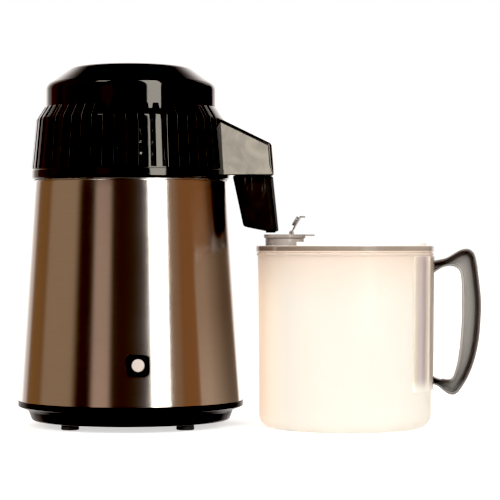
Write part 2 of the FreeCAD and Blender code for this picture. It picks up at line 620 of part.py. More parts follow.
jug = rev([
    (0, 1.4), (66.0, 1.4, 0.8), (67.0, 0.0, 0.5), (85.6, 0.0, 13.5), (jug_r(170.5), 170.5), (87.9, 171.6, 0.4), (87.9, 173.6, 0.5), (86.7, jug_shoulder),
    (86.7, jug_top, 0.6), (86.7 - jug_wall, jug_top, 0.6), (jug_r(171) - jug_wall, 171.0), (85.6 - jug_wall, 3.2, 11.4), (0, 3.2),
])
panel_cut = fuse([box(-100, -43.8, -100, 100, 180, 190), cyl(21.2, 170, 190, neck_u, 0)])
top = rev([
    (0, 179.25), (82.3, 179.25), (82.3, 172.0, 0.4), (84.2, 172.0, 0.4), (84.2, 179.25), (87.0, 179.25), (87.0, 174.4, 0.3), (88.5, 174.4, 0.5), (lid_radius, lid_top, 1.2), (0, lid_top),
])
raised = rev([(0, 180.5), (83.2, 180.5), (82.6, 184.6, 0.9), (0, 184.6)]).cut(panel_cut)
under = rev([(0, 179.0), (81.0, 179.0), (81.0, 182.9), (0, 182.9)]).cut(fuse([box(-100, -41.8, -100, 100, 178, 190), cyl(23.2, 170, 190, neck_u, 0)]))
neck = cyl(neck_radius, 180.0, 188.2, neck_u, 0)
jug_lid = fuse([top, raised, neck]).cut(under).cut(cyl(17.2, 170, 190, neck_u, 0))

cap = rev([
    (13.9, 180.0, 0.4), (16.9, 180.0, 0.6), (16.9, 188.3), (20.2, 188.3, 0.3), (20.8, 189.4, 0.3), (20.8, 192.2, 0.5), (19.0, 192.2, 0.4), (18.4, 191.2), (0, 189.9), (0, 188.0), (13.9, 188.0),
])
cap.translate(Vector(neck_u, 0, 0))
pull = prism(rect(neck_u + 19.5, neck_u + 30.0, -4.5, 4.5, 2.5, 190.7), 1.4)
ears = []
for sv in (-1, 1):
    lo, hi = sorted((sv * 4.2, sv * 6.6))
    ear = fuse([box(flap_u - 2.0, flap_u + 2.0, lo, hi, 189.0, flap_z),
                Part.makeCylinder(2.0, hi - lo, Vector(flap_u, lo, flap_z), Vector(0, 1, 0))])
    ears.append(ear)
stop = box(flap_u - 5.0, flap_u - 2.0, -6.6, 6.6, 189.0, 192.9)
stop_low = box(flap_u - 5.0, flap_u - 2.0, -3.9, 3.9, 188.6, 192.9)
cap = fuse([cap, pull] + ears)
cap = cap.cut(cyl(5.3, 185, 195, hole_u, 0)).cut(Part.makeCylinder(0.95, 20, Vector(flap_u, -10, flap_z), Vector(0, 1, 0)))
cap = cap.cut(Part.makeCylinder(2.6, 7.8, Vector(flap_u, -3.9, flap_z), Vector(0, 1, 0)))

flap = fuse([
    Part.makeCylinder(1.9, 7.4, Vector(0, -3.7, 0), Vector(0, 1, 0)),
    box(0.0, 6.0, -3.5, 3.5, -0.7, 0.7),
    prism(corner_wire([(5.0, -7.0, 3.0), (19.0, -7.0, 4.0), (19.0, 7.0, 4.0), (5.0, 7.0, 3.0)], lambda a, b: Vector(a, b, -0.7)), 1.4),
    cyl(5.0, 0.2, 3.5, 12.0, 0),
])
lip = box(0, 4.6, -4.0, 4.0, -0.7, 0.7)
lip.rotate(O, Vector(0, 1, 0), 62)
lip.translate(Vector(18.2, 0, 0))
flap = flap.fuse(lip)
flap = flap.cut(cyl(3.8, 0.8, 6, 12.0, 0)).cut(Part.makeCylinder(0.95, 20, Vector(0, -10, 0), Vector(0, 1, 0)))
flap.rotate(O, Vector(0, 1, 0), -flap_rest)
flap.translate(Vector(flap_u, 0, flap_z))
pin = Part.makeCylinder(0.9, 13.4, Vector(flap_u, -6.7, flap_z), Vector(0, 1, 0))

# saddle on the jug's wall, and the handle standing on it
zs0, zs1 = 38.0, 171.2
saddle = rev([(jug_r(zs0) + 0.1, zs0), (jug_r(zs0) + 2.1, zs0, 0.7), (jug_r(zs1) + 2.1, zs1, 0.7), (jug_r(zs1) + 0.1, zs1)])
wedge_cut = Part.Face(Part.Wire(Part.makePolygon([Vector(0, 0, 30), Vector(*polar(130, -37.5), 30), Vector(160, 0, 30), Vector(*polar(130, 37.5), 30), Vector(0, 0, 30)]))).extrude(Vector(0, 0, 150))
saddle = saddle.common(wedge_cut)
saddle = saddle.cut(rev([(80, 170.4), (95, 170.4), (95, 176), (80, 176)]))

outer_pts = [(84.0, 166.0), (92.0, 166.6), (100.5, 168.6), (107.0, 172.2), (113.3, 175.9), (119.0, 177.7), (124.4, 177.0), (128.6, 172.4), (131.1, 162.0),
             (133.3, 146.0), (134.9, 130.0), (135.1, 118.0), (134.3, 102.0), (132.9, 88.0), (130.2, 74.0), (126.3, 61.0), (121.8, 50.5), (116.6, 41.6),
             (112.4, 36.0), (108.0, 33.4), (103.0, 34.2), (98.3, 37.2), (93.5, 41.2), (89.5, 43.2), (84.0, 43.4)]
inner_pts = [(84.0, 52.4), (88.6, 50.6), (93.5, 48.4), (98.6, 48.6), (103.2, 48.0), (107.0, 49.8), (109.5, 56.0), (111.7, 64.6), (113.6, 76.0), (115.0, 89.3), (116.0, 104.0),
             (116.3, 119.0), (116.3, 133.0), (115.9, 146.0), (114.9, 153.6), (112.0, 158.6), (106.0, 161.0), (99.5, 160.2), (94.5, 158.2), (89.5, 154.6), (84.0, 151.6)]


def shifted(points, d):
    """Points moved d to the left of the direction of travel."""
    out = []
    for i, p in enumerate(points):
        a = points[max(i - 1, 0)]
        b = points[min(i + 1, len(points) - 1)]
        tx, tz = b[0] - a[0], b[1] - a[1]
        l = math.hypot(tx, tz)
        out.append((p[0] - tz / l * d, p[1] + tx / l * d))
    return out


def band(first, second, half):
    place = lambda a, b: Vector(a, -half, b)
    e1, e2 = spline_edge(first, place), spline_edge(second, place)
    w = Part.Wire([e1, Part.LineSegment(place(*first[-1]), place(*second[-1])).toShape(), e2, Part.LineSegment(place(*second[0]), place(*first[0])).toShape()])
    return Part.Face(w).extrude(Vector(0, 2 * half, 0))


web = band(outer_pts, list(reversed(inner_pts)), 1.6)
outer_flange = band(outer_pts, shifted(outer_pts, -3.0), 11.0)
inner_flange = band(inner_pts, shifted(inner_pts, -2.6), 9.0)
wall_cut = rev([(0, 20), (jug_r(20) + 2.15, 20), (jug_r(180) + 2.15, 180), (0, 180)])
handle = fuse([web, outer_flange, inner_flange]).cut(wall_cut)
handle = handle.removeSplitter()


def on_jug(shape):
    s = turned(shape, jug_turn)
    s.translate(Vector(jug_x, jug_y, 0))
    return s


for name, shape in (("jug_body", jug), ("jug_lid", jug_lid), ("neck_cap", cap), ("cap_flap", flap), ("flap_pin", pin),
                    ("handle_saddle", saddle), ("jug_handle", handle)):
    nodes[name] = on_jug(shape)

# ---- write --------------------------------------------------------------------------------------
total = FreeCAD.BoundBox()
for name, shape in nodes.items():
    shape = shape.copy()
    shape.translate(Vector(frame_shift, 0, 0))
    solids = shape.Solids
    out = solids[0] if len(solids) == 1 else Part.makeCompound(solids)
    bb = out.optimalBoundingBox()
    total.add(bb)
    bad = [s for s in solids if not s.isValid() or s.Volume <= 0]
    print("%-20s solids %2d faces %4d volume %9.1f  x %.1f..%.1f y %.1f..%.1f z %.1f..%.1f%s" % (
        name, len(solids), len(out.Faces), out.Volume, bb.XMin, bb.XMax, bb.YMin, bb.YMax, bb.ZMin, bb.ZMax, "  INVALID" if bad else ""))
    out.exportStep("parts/%s.step" % name)
print("set", [round(v, 2) for v in (total.XMin, total.XMax, total.YMin, total.YMax, total.ZMin, total.ZMax)], len(nodes), "nodes")
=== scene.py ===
import bpy
import bmesh
import math
from mathutils import Matrix, Vector


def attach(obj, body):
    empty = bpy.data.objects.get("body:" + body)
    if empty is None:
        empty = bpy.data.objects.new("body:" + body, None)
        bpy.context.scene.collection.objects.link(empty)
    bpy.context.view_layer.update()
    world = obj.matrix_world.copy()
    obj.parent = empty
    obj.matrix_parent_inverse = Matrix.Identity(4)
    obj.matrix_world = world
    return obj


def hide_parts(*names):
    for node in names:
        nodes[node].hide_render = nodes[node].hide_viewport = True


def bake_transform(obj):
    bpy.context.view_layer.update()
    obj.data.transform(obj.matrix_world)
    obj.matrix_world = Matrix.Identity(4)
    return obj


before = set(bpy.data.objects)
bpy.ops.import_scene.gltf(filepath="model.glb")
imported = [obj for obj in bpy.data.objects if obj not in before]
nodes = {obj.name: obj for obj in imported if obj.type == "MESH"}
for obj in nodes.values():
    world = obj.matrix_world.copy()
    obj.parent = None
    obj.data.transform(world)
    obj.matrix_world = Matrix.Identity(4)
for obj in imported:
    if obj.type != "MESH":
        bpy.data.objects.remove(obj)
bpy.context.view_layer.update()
scene = bpy.context.scene

S = -118.6                       # the distiller's axis, mm along X
JX, JY, JTURN = 215.0 + S, -22.5, -5.0
SPOUT = -7.0
MM = 0.001


# ---------------------------------------------------------------------------------- mesh helpers
def rounded(pts, closed=True, step=9.0):
    """Corner rounding of a 2-D outline: points are (a, b) or (a, b, radius)."""
    n = len(pts)
    out = []
    for i in range(n):
        p = pts[i]
        r = p[2] if len(p) > 2 else 0
        if not r or (not closed and i in (0, n - 1)):
            out.append((p[0], p[1]))
            continue
        a, b = pts[i - 1], pts[(i + 1) % n]
        d1 = Vector((a[0] - p[0], a[1] - p[1])).normalized()
        d2 = Vector((b[0] - p[0], b[1] - p[1])).normalized()
        half = math.acos(max(-1, min(1, d1.dot(d2)))) / 2
        t = r / math.tan(half)
        bis = (d1 + d2).normalized()
        c = Vector(p[:2]) + bis * (r / math.sin(half))
        q1 = Vector(p[:2]) + d1 * t - c
        q2 = Vector(p[:2]) + d2 * t - c
        turn = math.atan2(q1.x * q2.y - q1.y * q2.x, q1.dot(q2))
        k = max(3, int(math.ceil(abs(math.degrees(turn)) / step)))
        for j in range(k + 1):
            w = turn * j / k
            out.append((c.x + q1.x * math.cos(w) - q1.y * math.sin(w), c.y + q1.x * math.sin(w) + q1.y * math.cos(w)))
    return out


def finish_mesh(name, bm, angle=32.0, smooth=True):
    bmesh.ops.remove_doubles(bm, verts=bm.verts, dist=2e-7)
    bmesh.ops.recalc_face_normals(bm, faces=bm.faces)
    me = bpy.data.meshes.new(name)
    bm.to_mesh(me)
    bm.free()
    if smooth:
        me.polygons.foreach_set("use_smooth", [True] * len(me.polygons))
        me.set_sharp_from_angle(angle=math.radians(angle))
    ob = bpy.data.objects.new(name, me)
    scene.collection.objects.link(ob)
    return ob


def lathe_into(bm, profile, segs=256, cx=0.0, cy=0.0, start=0.0, sweep=360.0):
    """Closed profile of (r, z) in mm turned about a vertical axis at (cx, cy)."""
    full = abs(sweep - 360.0) < 1e-6
    rings = []
    count = segs if full else segs + 1
    for i in range(count):
        a = math.radians(start + sweep * i / segs)
        c, s = math.cos(a), math.sin(a)
        rings.append([(r, z, c, s) for r, z in profile])
    made = []
    axis_verts = {}
    for ring in rings:
        row = []
        for k, (r, z, c, s) in enumerate(ring):
            if r < 1e-6:
                if k not in axis_verts:
                    axis_verts[k] = bm.verts.new((cx * MM, cy * MM, z * MM))
                row.append(axis_verts[k])
            else:
                row.append(bm.verts.new(((cx + r * c) * MM, (cy + r * s) * MM, z * MM)))
        made.append(row)
    n = len(profile)
    for i in range(segs):
        a, b = made[i], made[(i + 1) % count]
        for k in range(n):
            q = [a[k], b[k], b[(k + 1) % n], a[(k + 1) % n]]
            u = []
            for v in q:
                if v not in u:
                    u.append(v)
            if len(u) > 2:
                try:
                    bm.faces.new(u)
                except ValueError:
                    pass
    if not full:
        for row in (made[0], made[-1]):
            u = []
            for v in row:
                if v not in u:
                    u.append(v)
            if len(u) > 2:
                bm.faces.new(u)


def lathe(name, profile, segs=256, cx=0.0, cy=0.0, angle=32.0, **kw):
    bm = bmesh.new()
    lathe_into(bm, profile, segs, cx, cy, **kw)
    return finish_mesh(name, bm, angle)


def loft_into(bm, loops, cap=True):
    """Skin through loops of equal point count (points in mm)."""
    rows = [[bm.verts.new(Vector(p) * MM) for p in loop] for loop in loops]
    n = len(rows[0])
    for a, b in zip(rows, rows[1:]):
        for k in range(n):
            bm.faces.new((a[k], a[(k + 1) % n], b[(k + 1) % n], b[k]))
    if cap:
        bm.faces.new(rows[0])
        bm.faces.new(rows[-1])
    return rows


def box_into(bm, x0, x1, y0, y1, z0, z1, matrix=None):
    vs = [Vector((x, y, z)) * MM for x in (x0, x1) for y in (y0, y1) for z in (z0, z1)]
    if matrix:
        vs = [matrix @ v for v in vs]
    v = [bm.verts.new(p) for p in vs]
    for f in ((0, 1, 3, 2), (4, 6, 7, 5), (0, 4, 5, 1), (2, 3, 7, 6), (0, 2, 6, 4), (1, 5, 7, 3)):
        bm.faces.new([v[i] for i in f])


def bevel(ob, width, segments=3, angle=30.0, limit="ANGLE"):
    m = ob.modifiers.new("edge", "BEVEL")
    m.width = width * MM
    m.segments = segments
    m.limit_method = limit
    m.angle_limit = math.radians(angle)
    m.harden_normals = False
    m.use_clamp_overlap = True
    return ob


def apply_mods(ob):
    dg = bpy.context.evaluated_depsgraph_get()
    me = bpy.data.meshes.new_from_object(ob.evaluated_get(dg))
    ob.modifiers.clear()
    old = ob.data
    ob.data = me
    bpy.data.meshes.remove(old)
    return ob


def smooth(ob, angle=32.0):
    ob.data.polygons.foreach_set("use_smooth", [True] * len(ob.data.polygons))
    ob.data.set_sharp_from_angle(angle=math.radians(angle))
    return ob


def moved(ob, matrix):
    ob.data.transform(matrix)
    return ob


def turn(deg, x=0.0, y=0.0):
    t = Matrix.Translation(Vector((x, y, 0)) * MM)
    return t @ Matrix.Rotation(math.radians(deg), 4, "Z")


# ---------------------------------------------------------------------------------- node helpers
class Tree:
    """Small wrapper that keeps node code short."""

    def __init__(self, owner):
        self.owner = owner
        owner.use_nodes = True
        self.nt = owner.node_tree
        self.nt.nodes.clear()

    def n(self, kind, **props):
        node = self.nt.nodes.new(kind)
        for k, v in props.items():
            setattr(node, k, v)
        return node

    def put(self, socket, value):
        if isinstance(value, bpy.types.NodeSocket):
            self.nt.links.new(value, socket)
        elif value is not None:
            if hasattr(socket.default_value, "__len__") and len(socket.default_value) == 4 and len(value) == 3:
                value = (*value, 1.0)
            socket.default_value = value

    def math(self, op, a, b=None, c=None, clamp=False):
        node = self.n("ShaderNodeMath", operation=op, use_clamp=clamp)
        for s, v in zip(node.inputs, (a, b, c)):
            self.put(s, v)
        return node.outputs[0]

    def vec(self, op, a, b=None, scale=None):
        node = self.n("ShaderNodeVectorMath", operation=op)
        self.put(node.inputs[0], a)
        if b is not None:
            self.put(node.inputs[1], b)
        if scale is not None:
            self.put(node.inputs["Scale"], scale)
        return node.outputs["Value"] if op in ("LENGTH", "DOT_PRODUCT") else node.outputs["Vector"]

    def join(self, x, y, z):
        node = self.n("ShaderNodeCombineXYZ")
        for s, v in zip(node.inputs, (x, y, z)):
            self.put(s, v)
        return node.outputs[0]

    def split(self, v):
        node = self.n("ShaderNodeSeparateXYZ")
        self.put(node.inputs[0], v)
        return node.outputs

    def noise(self, v, scale, detail=2.0, rough=0.5, distortion=0.0):
        node = self.n("ShaderNodeTexNoise", noise_dimensions="3D")
        self.put(node.inputs["Vector"], v)
        node.inputs["Scale"].default_value = scale
        node.inputs["Detail"].default_value = detail
        node.inputs["Roughness"].default_value = rough
        node.inputs["Distortion"].default_value = distortion
        return node.outputs["Fac"]

    def rng(self, v, a, b, c=0.0, d=1.0, kind="LINEAR"):
        node = self.n("ShaderNodeMapRange", interpolation_type=kind, clamp=True)
        self.put(node.inputs["Value"], v)
        for k, x in (("From Min", a), ("From Max", b), ("To Min", c), ("To Max", d)):
            node.inputs[k].default_value = x
        return node.outputs["Result"]

    def mix(self, fac, a, b, blend="MIX"):
        node = self.n("ShaderNodeMix", data_type="RGBA", blend_type=blend)
        self.put(node.inputs[0], fac)
        self.put(node.inputs[6], a)
        self.put(node.inputs[7], b)
        return node.outputs[2]

    def bump(self, height, distance, strength=1.0, normal=None):
        node = self.n("ShaderNodeBump")
        node.inputs["Strength"].default_value = strength
        node.inputs["Distance"].default_value = distance
        self.put(node.inputs["Height"], height)
        if normal is not None:
            self.put(node.inputs["Normal"], normal)
        return node.outputs["Normal"]


class Mat(Tree):
    def __init__(self, name, **sockets):
        super().__init__(bpy.data.materials.new(name))
        self.mat = self.owner
        self.out = self.n("ShaderNodeOutputMaterial")
        self.b = self.n("ShaderNodeBsdfPrincipled")
        self.nt.links.new(self.b.outputs[0], self.out.inputs["Surface"])
        for k, v in sockets.items():
            self.put(self.b.inputs[k.replace("_", " ")], v)
        self.obj = self.n("ShaderNodeTexCoord").outputs["Object"]

    def about(self, x, y):
        """Object coordinates measured from a vertical axis at (x, y), in metres."""
        return self.vec("SUBTRACT", self.obj, (x, y, 0.0))

    def drum(self, x, y, around, up):
        """Coordinates wrapped round that axis: slow along the turn, quick up it."""
        p = self.about(x, y)
        sx, sy, sz = self.split(p)
        r = self.math("MAXIMUM", self.math("SQRT", self.math("ADD", self.math("MULTIPLY", sx, sx), self.math("MULTIPLY", sy, sy))), 1e-4)
        return self.join(self.math("MULTIPLY", self.math("DIVIDE", sx, r), around), self.math("MULTIPLY", self.math("DIVIDE", sy, r), around),
                         self.math("MULTIPLY", sz, up)), (sx, sy, sz, r)

    def colour(self, v):
        self.put(self.b.inputs["Base Color"], v)

    def rough(self, v):
        self.put(self.b.inputs["Roughness"], v)

    def normal(self, v):
        self.put(self.b.inputs["Normal"], v)


mats = {}


def gloss_black(name, tint=(0.0045, 0.0045, 0.005), low=0.035, high=0.10, wave=0.000016, period=95.0):
    """Moulded gloss black: faint moulding waves, hairline scuffs and a little dust in the roughness."""
    m = Mat(name, IOR=1.5)
    wide = m.noise(m.obj, period, 2.0, 0.45)
    fine = m.noise(m.obj, 1400.0, 2.0, 0.6)
    scuff = m.noise(m.vec("MULTIPLY", m.obj, (2600.0, 2600.0, 240.0)), 1.0, 3.0, 0.7)
    m.colour(m.mix(m.rng(fine, 0.35, 0.7), tint, [c * 1.9 for c in tint]))
    m.rough(m.math("ADD", m.rng(wide, 0.35, 0.75, low, high), m.rng(scuff, 0.60, 0.78, 0.0, 0.07)))
    m.normal(m.bump(scuff, 0.0000012, 1.0, m.bump(wide, wave)))
    mats[name] = m.mat
    return m


def satin_black(name, tint=(0.010, 0.0095, 0.009), low=0.34, high=0.48, grain=1900.0, depth=0.000022):
    """Spark-eroded satin black moulding."""
    m = Mat(name, IOR=1.49)
    g = m.noise(m.obj, grain, 4.0, 0.62)
    w = m.noise(m.obj, 60.0, 3.0, 0.5)
    m.colour(m.mix(m.rng(m.math("ADD", m.math("MULTIPLY", g, 0.5), m.math("MULTIPLY", w, 0.5)), 0.38, 0.62), tint, [c * 1.8 for c in tint]))
    m.rough(m.rng(w, 0.3, 0.7, low, high))
    m.normal(m.bump(g, depth, 0.8))
    mats[name] = m.mat
    return m


def turned_metal(name, colour, colour2, x, y, rough=(0.20, 0.30), anis=0.85, rotation=0.25, up=2600.0, line=0.0000035):
    """Steel brushed round a vertical axis: fine lines that run round the body, blurred along it."""
    m = Mat(name, Metallic=1.0)
    v1, (sx, sy, sz, r) = m.drum(x, y, 5.0, up)
    v2, _ = m.drum(x, y, 3.0, up * 0.26)
    hair = m.noise(v1, 1.0, 3.0, 0.65)
    band = m.noise(v2, 1.0, 3.0, 0.6)
    cloud = m.noise(m.about(x, y), 16.0, 2.0, 0.5)
    f = m.math("ADD", m.math("MULTIPLY", hair, 0.45), m.math("ADD", m.math("MULTIPLY", band, 0.35), m.math("MULTIPLY", cloud, 0.2)))
    m.colour(m.mix(m.rng(f, 0.36, 0.64), colour, colour2))
    m.rough(m.math("ADD", m.rng(hair, 0.3, 0.7, rough[0], rough[1]), m.rng(cloud, 0.3, 0.7, -0.015, 0.015)))
    m.normal(m.bump(hair, line, 1.0))
    m.b.inputs["Anisotropic"].default_value = anis
    m.b.inputs["Anisotropic Rotation"].default_value = rotation
    t = m.n("ShaderNodeTangent", direction_type="RADIAL", axis="Z")
    m.nt.links.new(t.outputs[0], m.b.inputs["Tangent"])
    mats[name] = m.mat
    return m


def plain_metal(name, colour, rough=(0.3, 0.45), grain=420.0, depth=0.00001, stain=0.25):
    m = Mat(name, Metallic=1.0)
    g = m.noise(m.obj, grain, 4.0, 0.6)
    s = m.noise(m.obj, 38.0, 3.0, 0.55)
    m.colour(m.mix(m.rng(s, 0.35, 0.7, 0.0, stain), m.mix(m.rng(g, 0.35, 0.65), colour, [c * 0.86 for c in colour]), [c * 0.55 for c in colour]))
    m.rough(m.rng(m.math("ADD", m.math("MULTIPLY", g, 0.5), m.math("MULTIPLY", s, 0.5)), 0.35, 0.65, *rough))
    m.normal(m.bump(g, depth, 0.7))
    mats[name] = m.mat
    return m


def plain_plastic(name, colour, rough=(0.3, 0.42), grain=900.0, depth=0.00001, vary=0.93):
    m = Mat(name, IOR=1.49)
    g = m.noise(m.obj, grain, 3.0, 0.6)
    s = m.noise(m.obj, 70.0, 3.0, 0.5)
    m.colour(m.mix(m.rng(m.math("ADD", m.math("MULTIPLY", g, 0.4), m.math("MULTIPLY", s, 0.6)), 0.38, 0.62), colour, [c * vary for c in colour]))
    m.rough(m.rng(s, 0.3, 0.7, *rough))
    m.normal(m.bump(g, depth, 0.7))
    mats[name] = m.mat
    return m


def milky(name, colour, deep, share, rough=(0.10, 0.17), grain=260.0, depth=0.00002, shade=None):
    """Translucent polypropylene: part of the light scatters through the wall, part comes back."""
    m = Mat(name, IOR=1.49)
    g = m.noise(m.obj, grain, 3.0, 0.55)
    flow = m.noise(m.vec("MULTIPLY", m.obj, (26.0, 26.0, 9.0)), 1.0, 3.0, 0.55)
    tone = m.mix(m.rng(m.math("ADD", m.math("MULTIPLY", g, 0.3), m.math("MULTIPLY", flow, 0.7)), 0.36, 0.66), colour, deep)
    if shade is not None:
        tone = shade(m, tone, flow)
    m.colour(tone)
    m.rough(m.rng(g, 0.3, 0.7, *rough))
    n = m.bump(flow, depth * 2.0, 1.0, m.bump(g, depth * 0.25, 1.0))
    m.normal(n)
    t = m.n("ShaderNodeBsdfTranslucent")
    m.put(t.inputs["Color"], tone)
    m.put(t.inputs["Normal"], n)
    mixer = m.n("ShaderNodeMixShader")
    mixer.inputs[0].default_value = share
    m.nt.links.new(m.b.outputs[0], mixer.inputs[1])
    m.nt.links.new(t.outputs[0], mixer.inputs[2])
    m.nt.links.new(mixer.outputs[0], m.out.inputs["Surface"])
    mats[name] = m.mat
    return m


def jug_shade(m, tone, flow):
    """Tones painted by object coordinates to match the photograph: a peach tint towards the machine is painted light,
    the warm glow thrown back from the steel; the darker, warmer tones near the rim and in the foot are painted shade.
    """
    x, y, z = m.split(m.obj)
    tone = m.mix(m.rng(x, 0.040, 0.022, 0.0, 1.0, "SMOOTHSTEP"), tone, (0.965, 0.925, 0.87))
    tone = m.mix(m.rng(x, 0.025, 0.012, 0.0, 1.0, "SMOOTHSTEP"), tone, (0.98, 0.885, 0.81))
    z = m.math("ADD", z, m.math("MULTIPLY", flow, 0.012))
    tone = m.mix(m.rng(z, 0.125, 0.178, 0.0, 0.75, "SMOOTHSTEP"), tone, (0.885, 0.82, 0.765))
    return m.mix(m.rng(z, 0.028, 0.008, 0.0, 0.45, "SMOOTHSTEP"), tone, (0.86, 0.83, 0.79))


def lid_shade(m, tone, flow):
    """Tones painted by object coordinates to match the photograph: pale raised panel and lip, dull skirt and neck;
    painted shade darkens the lid towards the machine, and painted light brightens its far end and the neck's far side.
    """
    x, y, z = m.split(m.obj)
    nx, ny = m.math("SUBTRACT", x, (JX - 60.17) * MM), m.math("SUBTRACT", y, (JY + 5.26) * MM)
    off_neck = m.rng(m.math("SQRT", m.math("ADD", m.math("MULTIPLY", nx, nx), m.math("MULTIPLY", ny, ny))), 0.0206, 0.0210)
    tone = m.mix(m.rng(x, 0.098, 0.018, 0.0, 1.0), tone, (0.172, 0.128, 0.100))
    tone = m.mix(m.rng(x, 0.145, 0.180, 0.0, 1.0), tone, (0.325, 0.275, 0.235))
    tone = m.mix(m.math("MULTIPLY", m.rng(z, 0.1803, 0.1807), off_neck), tone, (0.80, 0.785, 0.755))
    neck = m.math("MULTIPLY", m.rng(z, 0.1803, 0.1807), m.math("SUBTRACT", 1.0, off_neck))
    tone = m.mix(neck, tone, m.mix(m.rng(x, 0.020, 0.036, 0.0, 1.0), (0.26, 0.222, 0.203), (0.41, 0.36, 0.325)))
    return m.mix(m.rng(z, 0.1760, 0.1756), tone, (0.66, 0.55, 0.47))


m = gloss_black("head_gloss", tint=(0.0018, 0.0018, 0.0020))
m.b.inputs["Specular IOR Level"].default_value = 0.42
m.b.inputs["Specular Tint"].default_value = (1.0, 0.95, 0.86, 1.0)

# spout: gloss; its flat sides get a cloudy, lighter base colour, a painted reflection standing in for the mottled glare
# of a softbox on them
m = gloss_black("spout_gloss", low=0.05, high=0.12, wave=0.000012, period=62.0)
side = m.n("ShaderNodeTexCoord").outputs["Normal"]
flat = m.math("MAXIMUM", m.vec("DOT_PRODUCT", side, (-0.121, -0.985, 0.122)), m.vec("DOT_PRODUCT", side, (0.121, 0.985, 0.122)))
cloud = m.noise(m.obj, 30.0, 3.0, 0.5, 1.8)
painted_glare = m.math("MULTIPLY", m.rng(flat, 0.990, 0.998, 0.0, 1.0, "SMOOTHSTEP"), m.rng(cloud, 0.37, 0.63))
base_in = m.b.inputs["Base Color"].links[0].from_socket
m.colour(m.mix(painted_glare, base_in, (0.050, 0.0465, 0.0385)))
m.b.inputs["Specular Tint"].default_value = (1.0, 0.95, 0.88, 1.0)

gloss_black("bezel_gloss", low=0.06, high=0.12)
m = satin_black("tray_satin", tint=(0.0012, 0.0011, 0.0010), low=0.30, high=0.42)
m.b.inputs["Specular IOR Level"].default_value = 0.12
satin_black("grille_satin", low=0.36, high=0.50)
satin_black("inlet_satin", low=0.34, high=0.46, grain=2400.0)
satin_black("inner_black", tint=(0.014, 0.014, 0.014), low=0.45, high=0.6)
# groove backs: a dull, barely reflecting black, painted shade for the dark inside seen through the slots
m = satin_black("groove_painted_shade", tint=(0.0025, 0.0025, 0.0028), low=0.5, high=0.65)
m.b.inputs["Specular IOR Level"].default_value = 0.12
satin_black("fan_black", tint=(0.012, 0.012, 0.0125), low=0.3, high=0.42)

# nozzle cup: satin, with dried runs down from its top edge
m = satin_black("nozzle_satin", tint=(0.0058, 0.0049, 0.0042), low=0.62, high=0.74, grain=1500.0)
m.b.inputs["Specular IOR Level"].default_value = 0.08
run = m.noise(m.vec("MULTIPLY", m.obj, (420.0, 420.0, 34.0)), 1.0, 3.0, 0.6)
fall = m.rng(m.split(m.obj)[2], 0.228, 0.249)
runs = m.math("MULTIPLY", m.rng(run, 0.58, 0.68), fall)
base_in = m.b.inputs["Base Color"].links[0].from_socket
m.colour(m.mix(m.math("MULTIPLY", runs, 0.5), base_in, (0.085, 0.075, 0.065)))

turned_metal("casing_steel", (0.60, 0.555, 0.51), (0.565, 0.522, 0.478), S * MM, 0.0, rough=(0.17, 0.225), line=0.0000016, up=3600.0)
turned_metal("tank_steel", (0.66, 0.65, 0.63), (0.56, 0.55, 0.535), S * MM, 0.0, rough=(0.24, 0.36), anis=0.6, up=1500.0)
plain_metal("drawn_steel", (0.62, 0.61, 0.60), rough=(0.22, 0.36), grain=700.0)
plain_metal("cast_aluminium", (0.70, 0.71, 0.72), rough=(0.38, 0.55), grain=520.0, depth=0.00002)
plain_metal("dark_element", (0.16, 0.145, 0.13), rough=(0.45, 0.65), grain=600.0, stain=0.5)
plain_metal("zinc_screw", (0.66, 0.66, 0.63), rough=(0.22, 0.38), grain=900.0, stain=0.2)
plain_metal("pin_metal", (0.74, 0.67, 0.46), rough=(0.2, 0.32), grain=900.0, stain=0.15)
plain_plastic("rubber_black", (0.018, 0.018, 0.018), rough=(0.7, 0.85), grain=1400.0, depth=0.00003, vary=1.6)
plain_plastic("button_white", (0.31, 0.265, 0.24), rough=(0.28, 0.40), grain=1600.0, vary=0.90)
plain_plastic("block_white", (0.78, 0.76, 0.72), rough=(0.35, 0.5))
plain_plastic("silicone_pale", (0.68, 0.66, 0.62), rough=(0.4, 0.55), grain=500.0)
plain_plastic("charcoal_sachet", (0.03, 0.03, 0.03), rough=(0.75, 0.95), grain=520.0, depth=0.0003, vary=3.0)

def saddle_shade(m, tone, flow):
    """Upright bands of tone, painted by the angle round the jug and set to match the photograph: painted light and
    shade, dark bands for the edge darkening and refraction of the curved wall and pale bands for its highlights.
    """
    x, y, z = m.split(m.obj)
    a = m.math("ARCTAN2", m.math("SUBTRACT", y, JY * MM), m.math("SUBTRACT", x, JX * MM))
    a = m.math("ABSOLUTE", m.math("ADD", m.math("MULTIPLY", a, 180.0 / math.pi), -JTURN))
    a = m.math("ADD", a, m.math("MULTIPLY", m.math("SUBTRACT", flow, 0.5), 2.0))
    for start, end, to in ((33.5, 36.0, (0.755, 0.725, 0.665)), (29.8, 28.4, (0.66, 0.61, 0.635)), (28.0, 26.4, (0.63, 0.585, 0.59)),
                           (25.4, 23.4, (0.77, 0.73, 0.70)), (22.2, 20.4, (0.91, 0.88, 0.84)), (17.8, 16.4, (0.60, 0.565, 0.53))):
        tone = m.mix(m.rng(a, start, end, 0.0, 1.0, "SMOOTHSTEP"), tone, to)
    return m.mix(m.rng(z, 0.052, 0.040, 0.0, 0.85, "SMOOTHSTEP"), tone, (0.94, 0.93, 0.905))


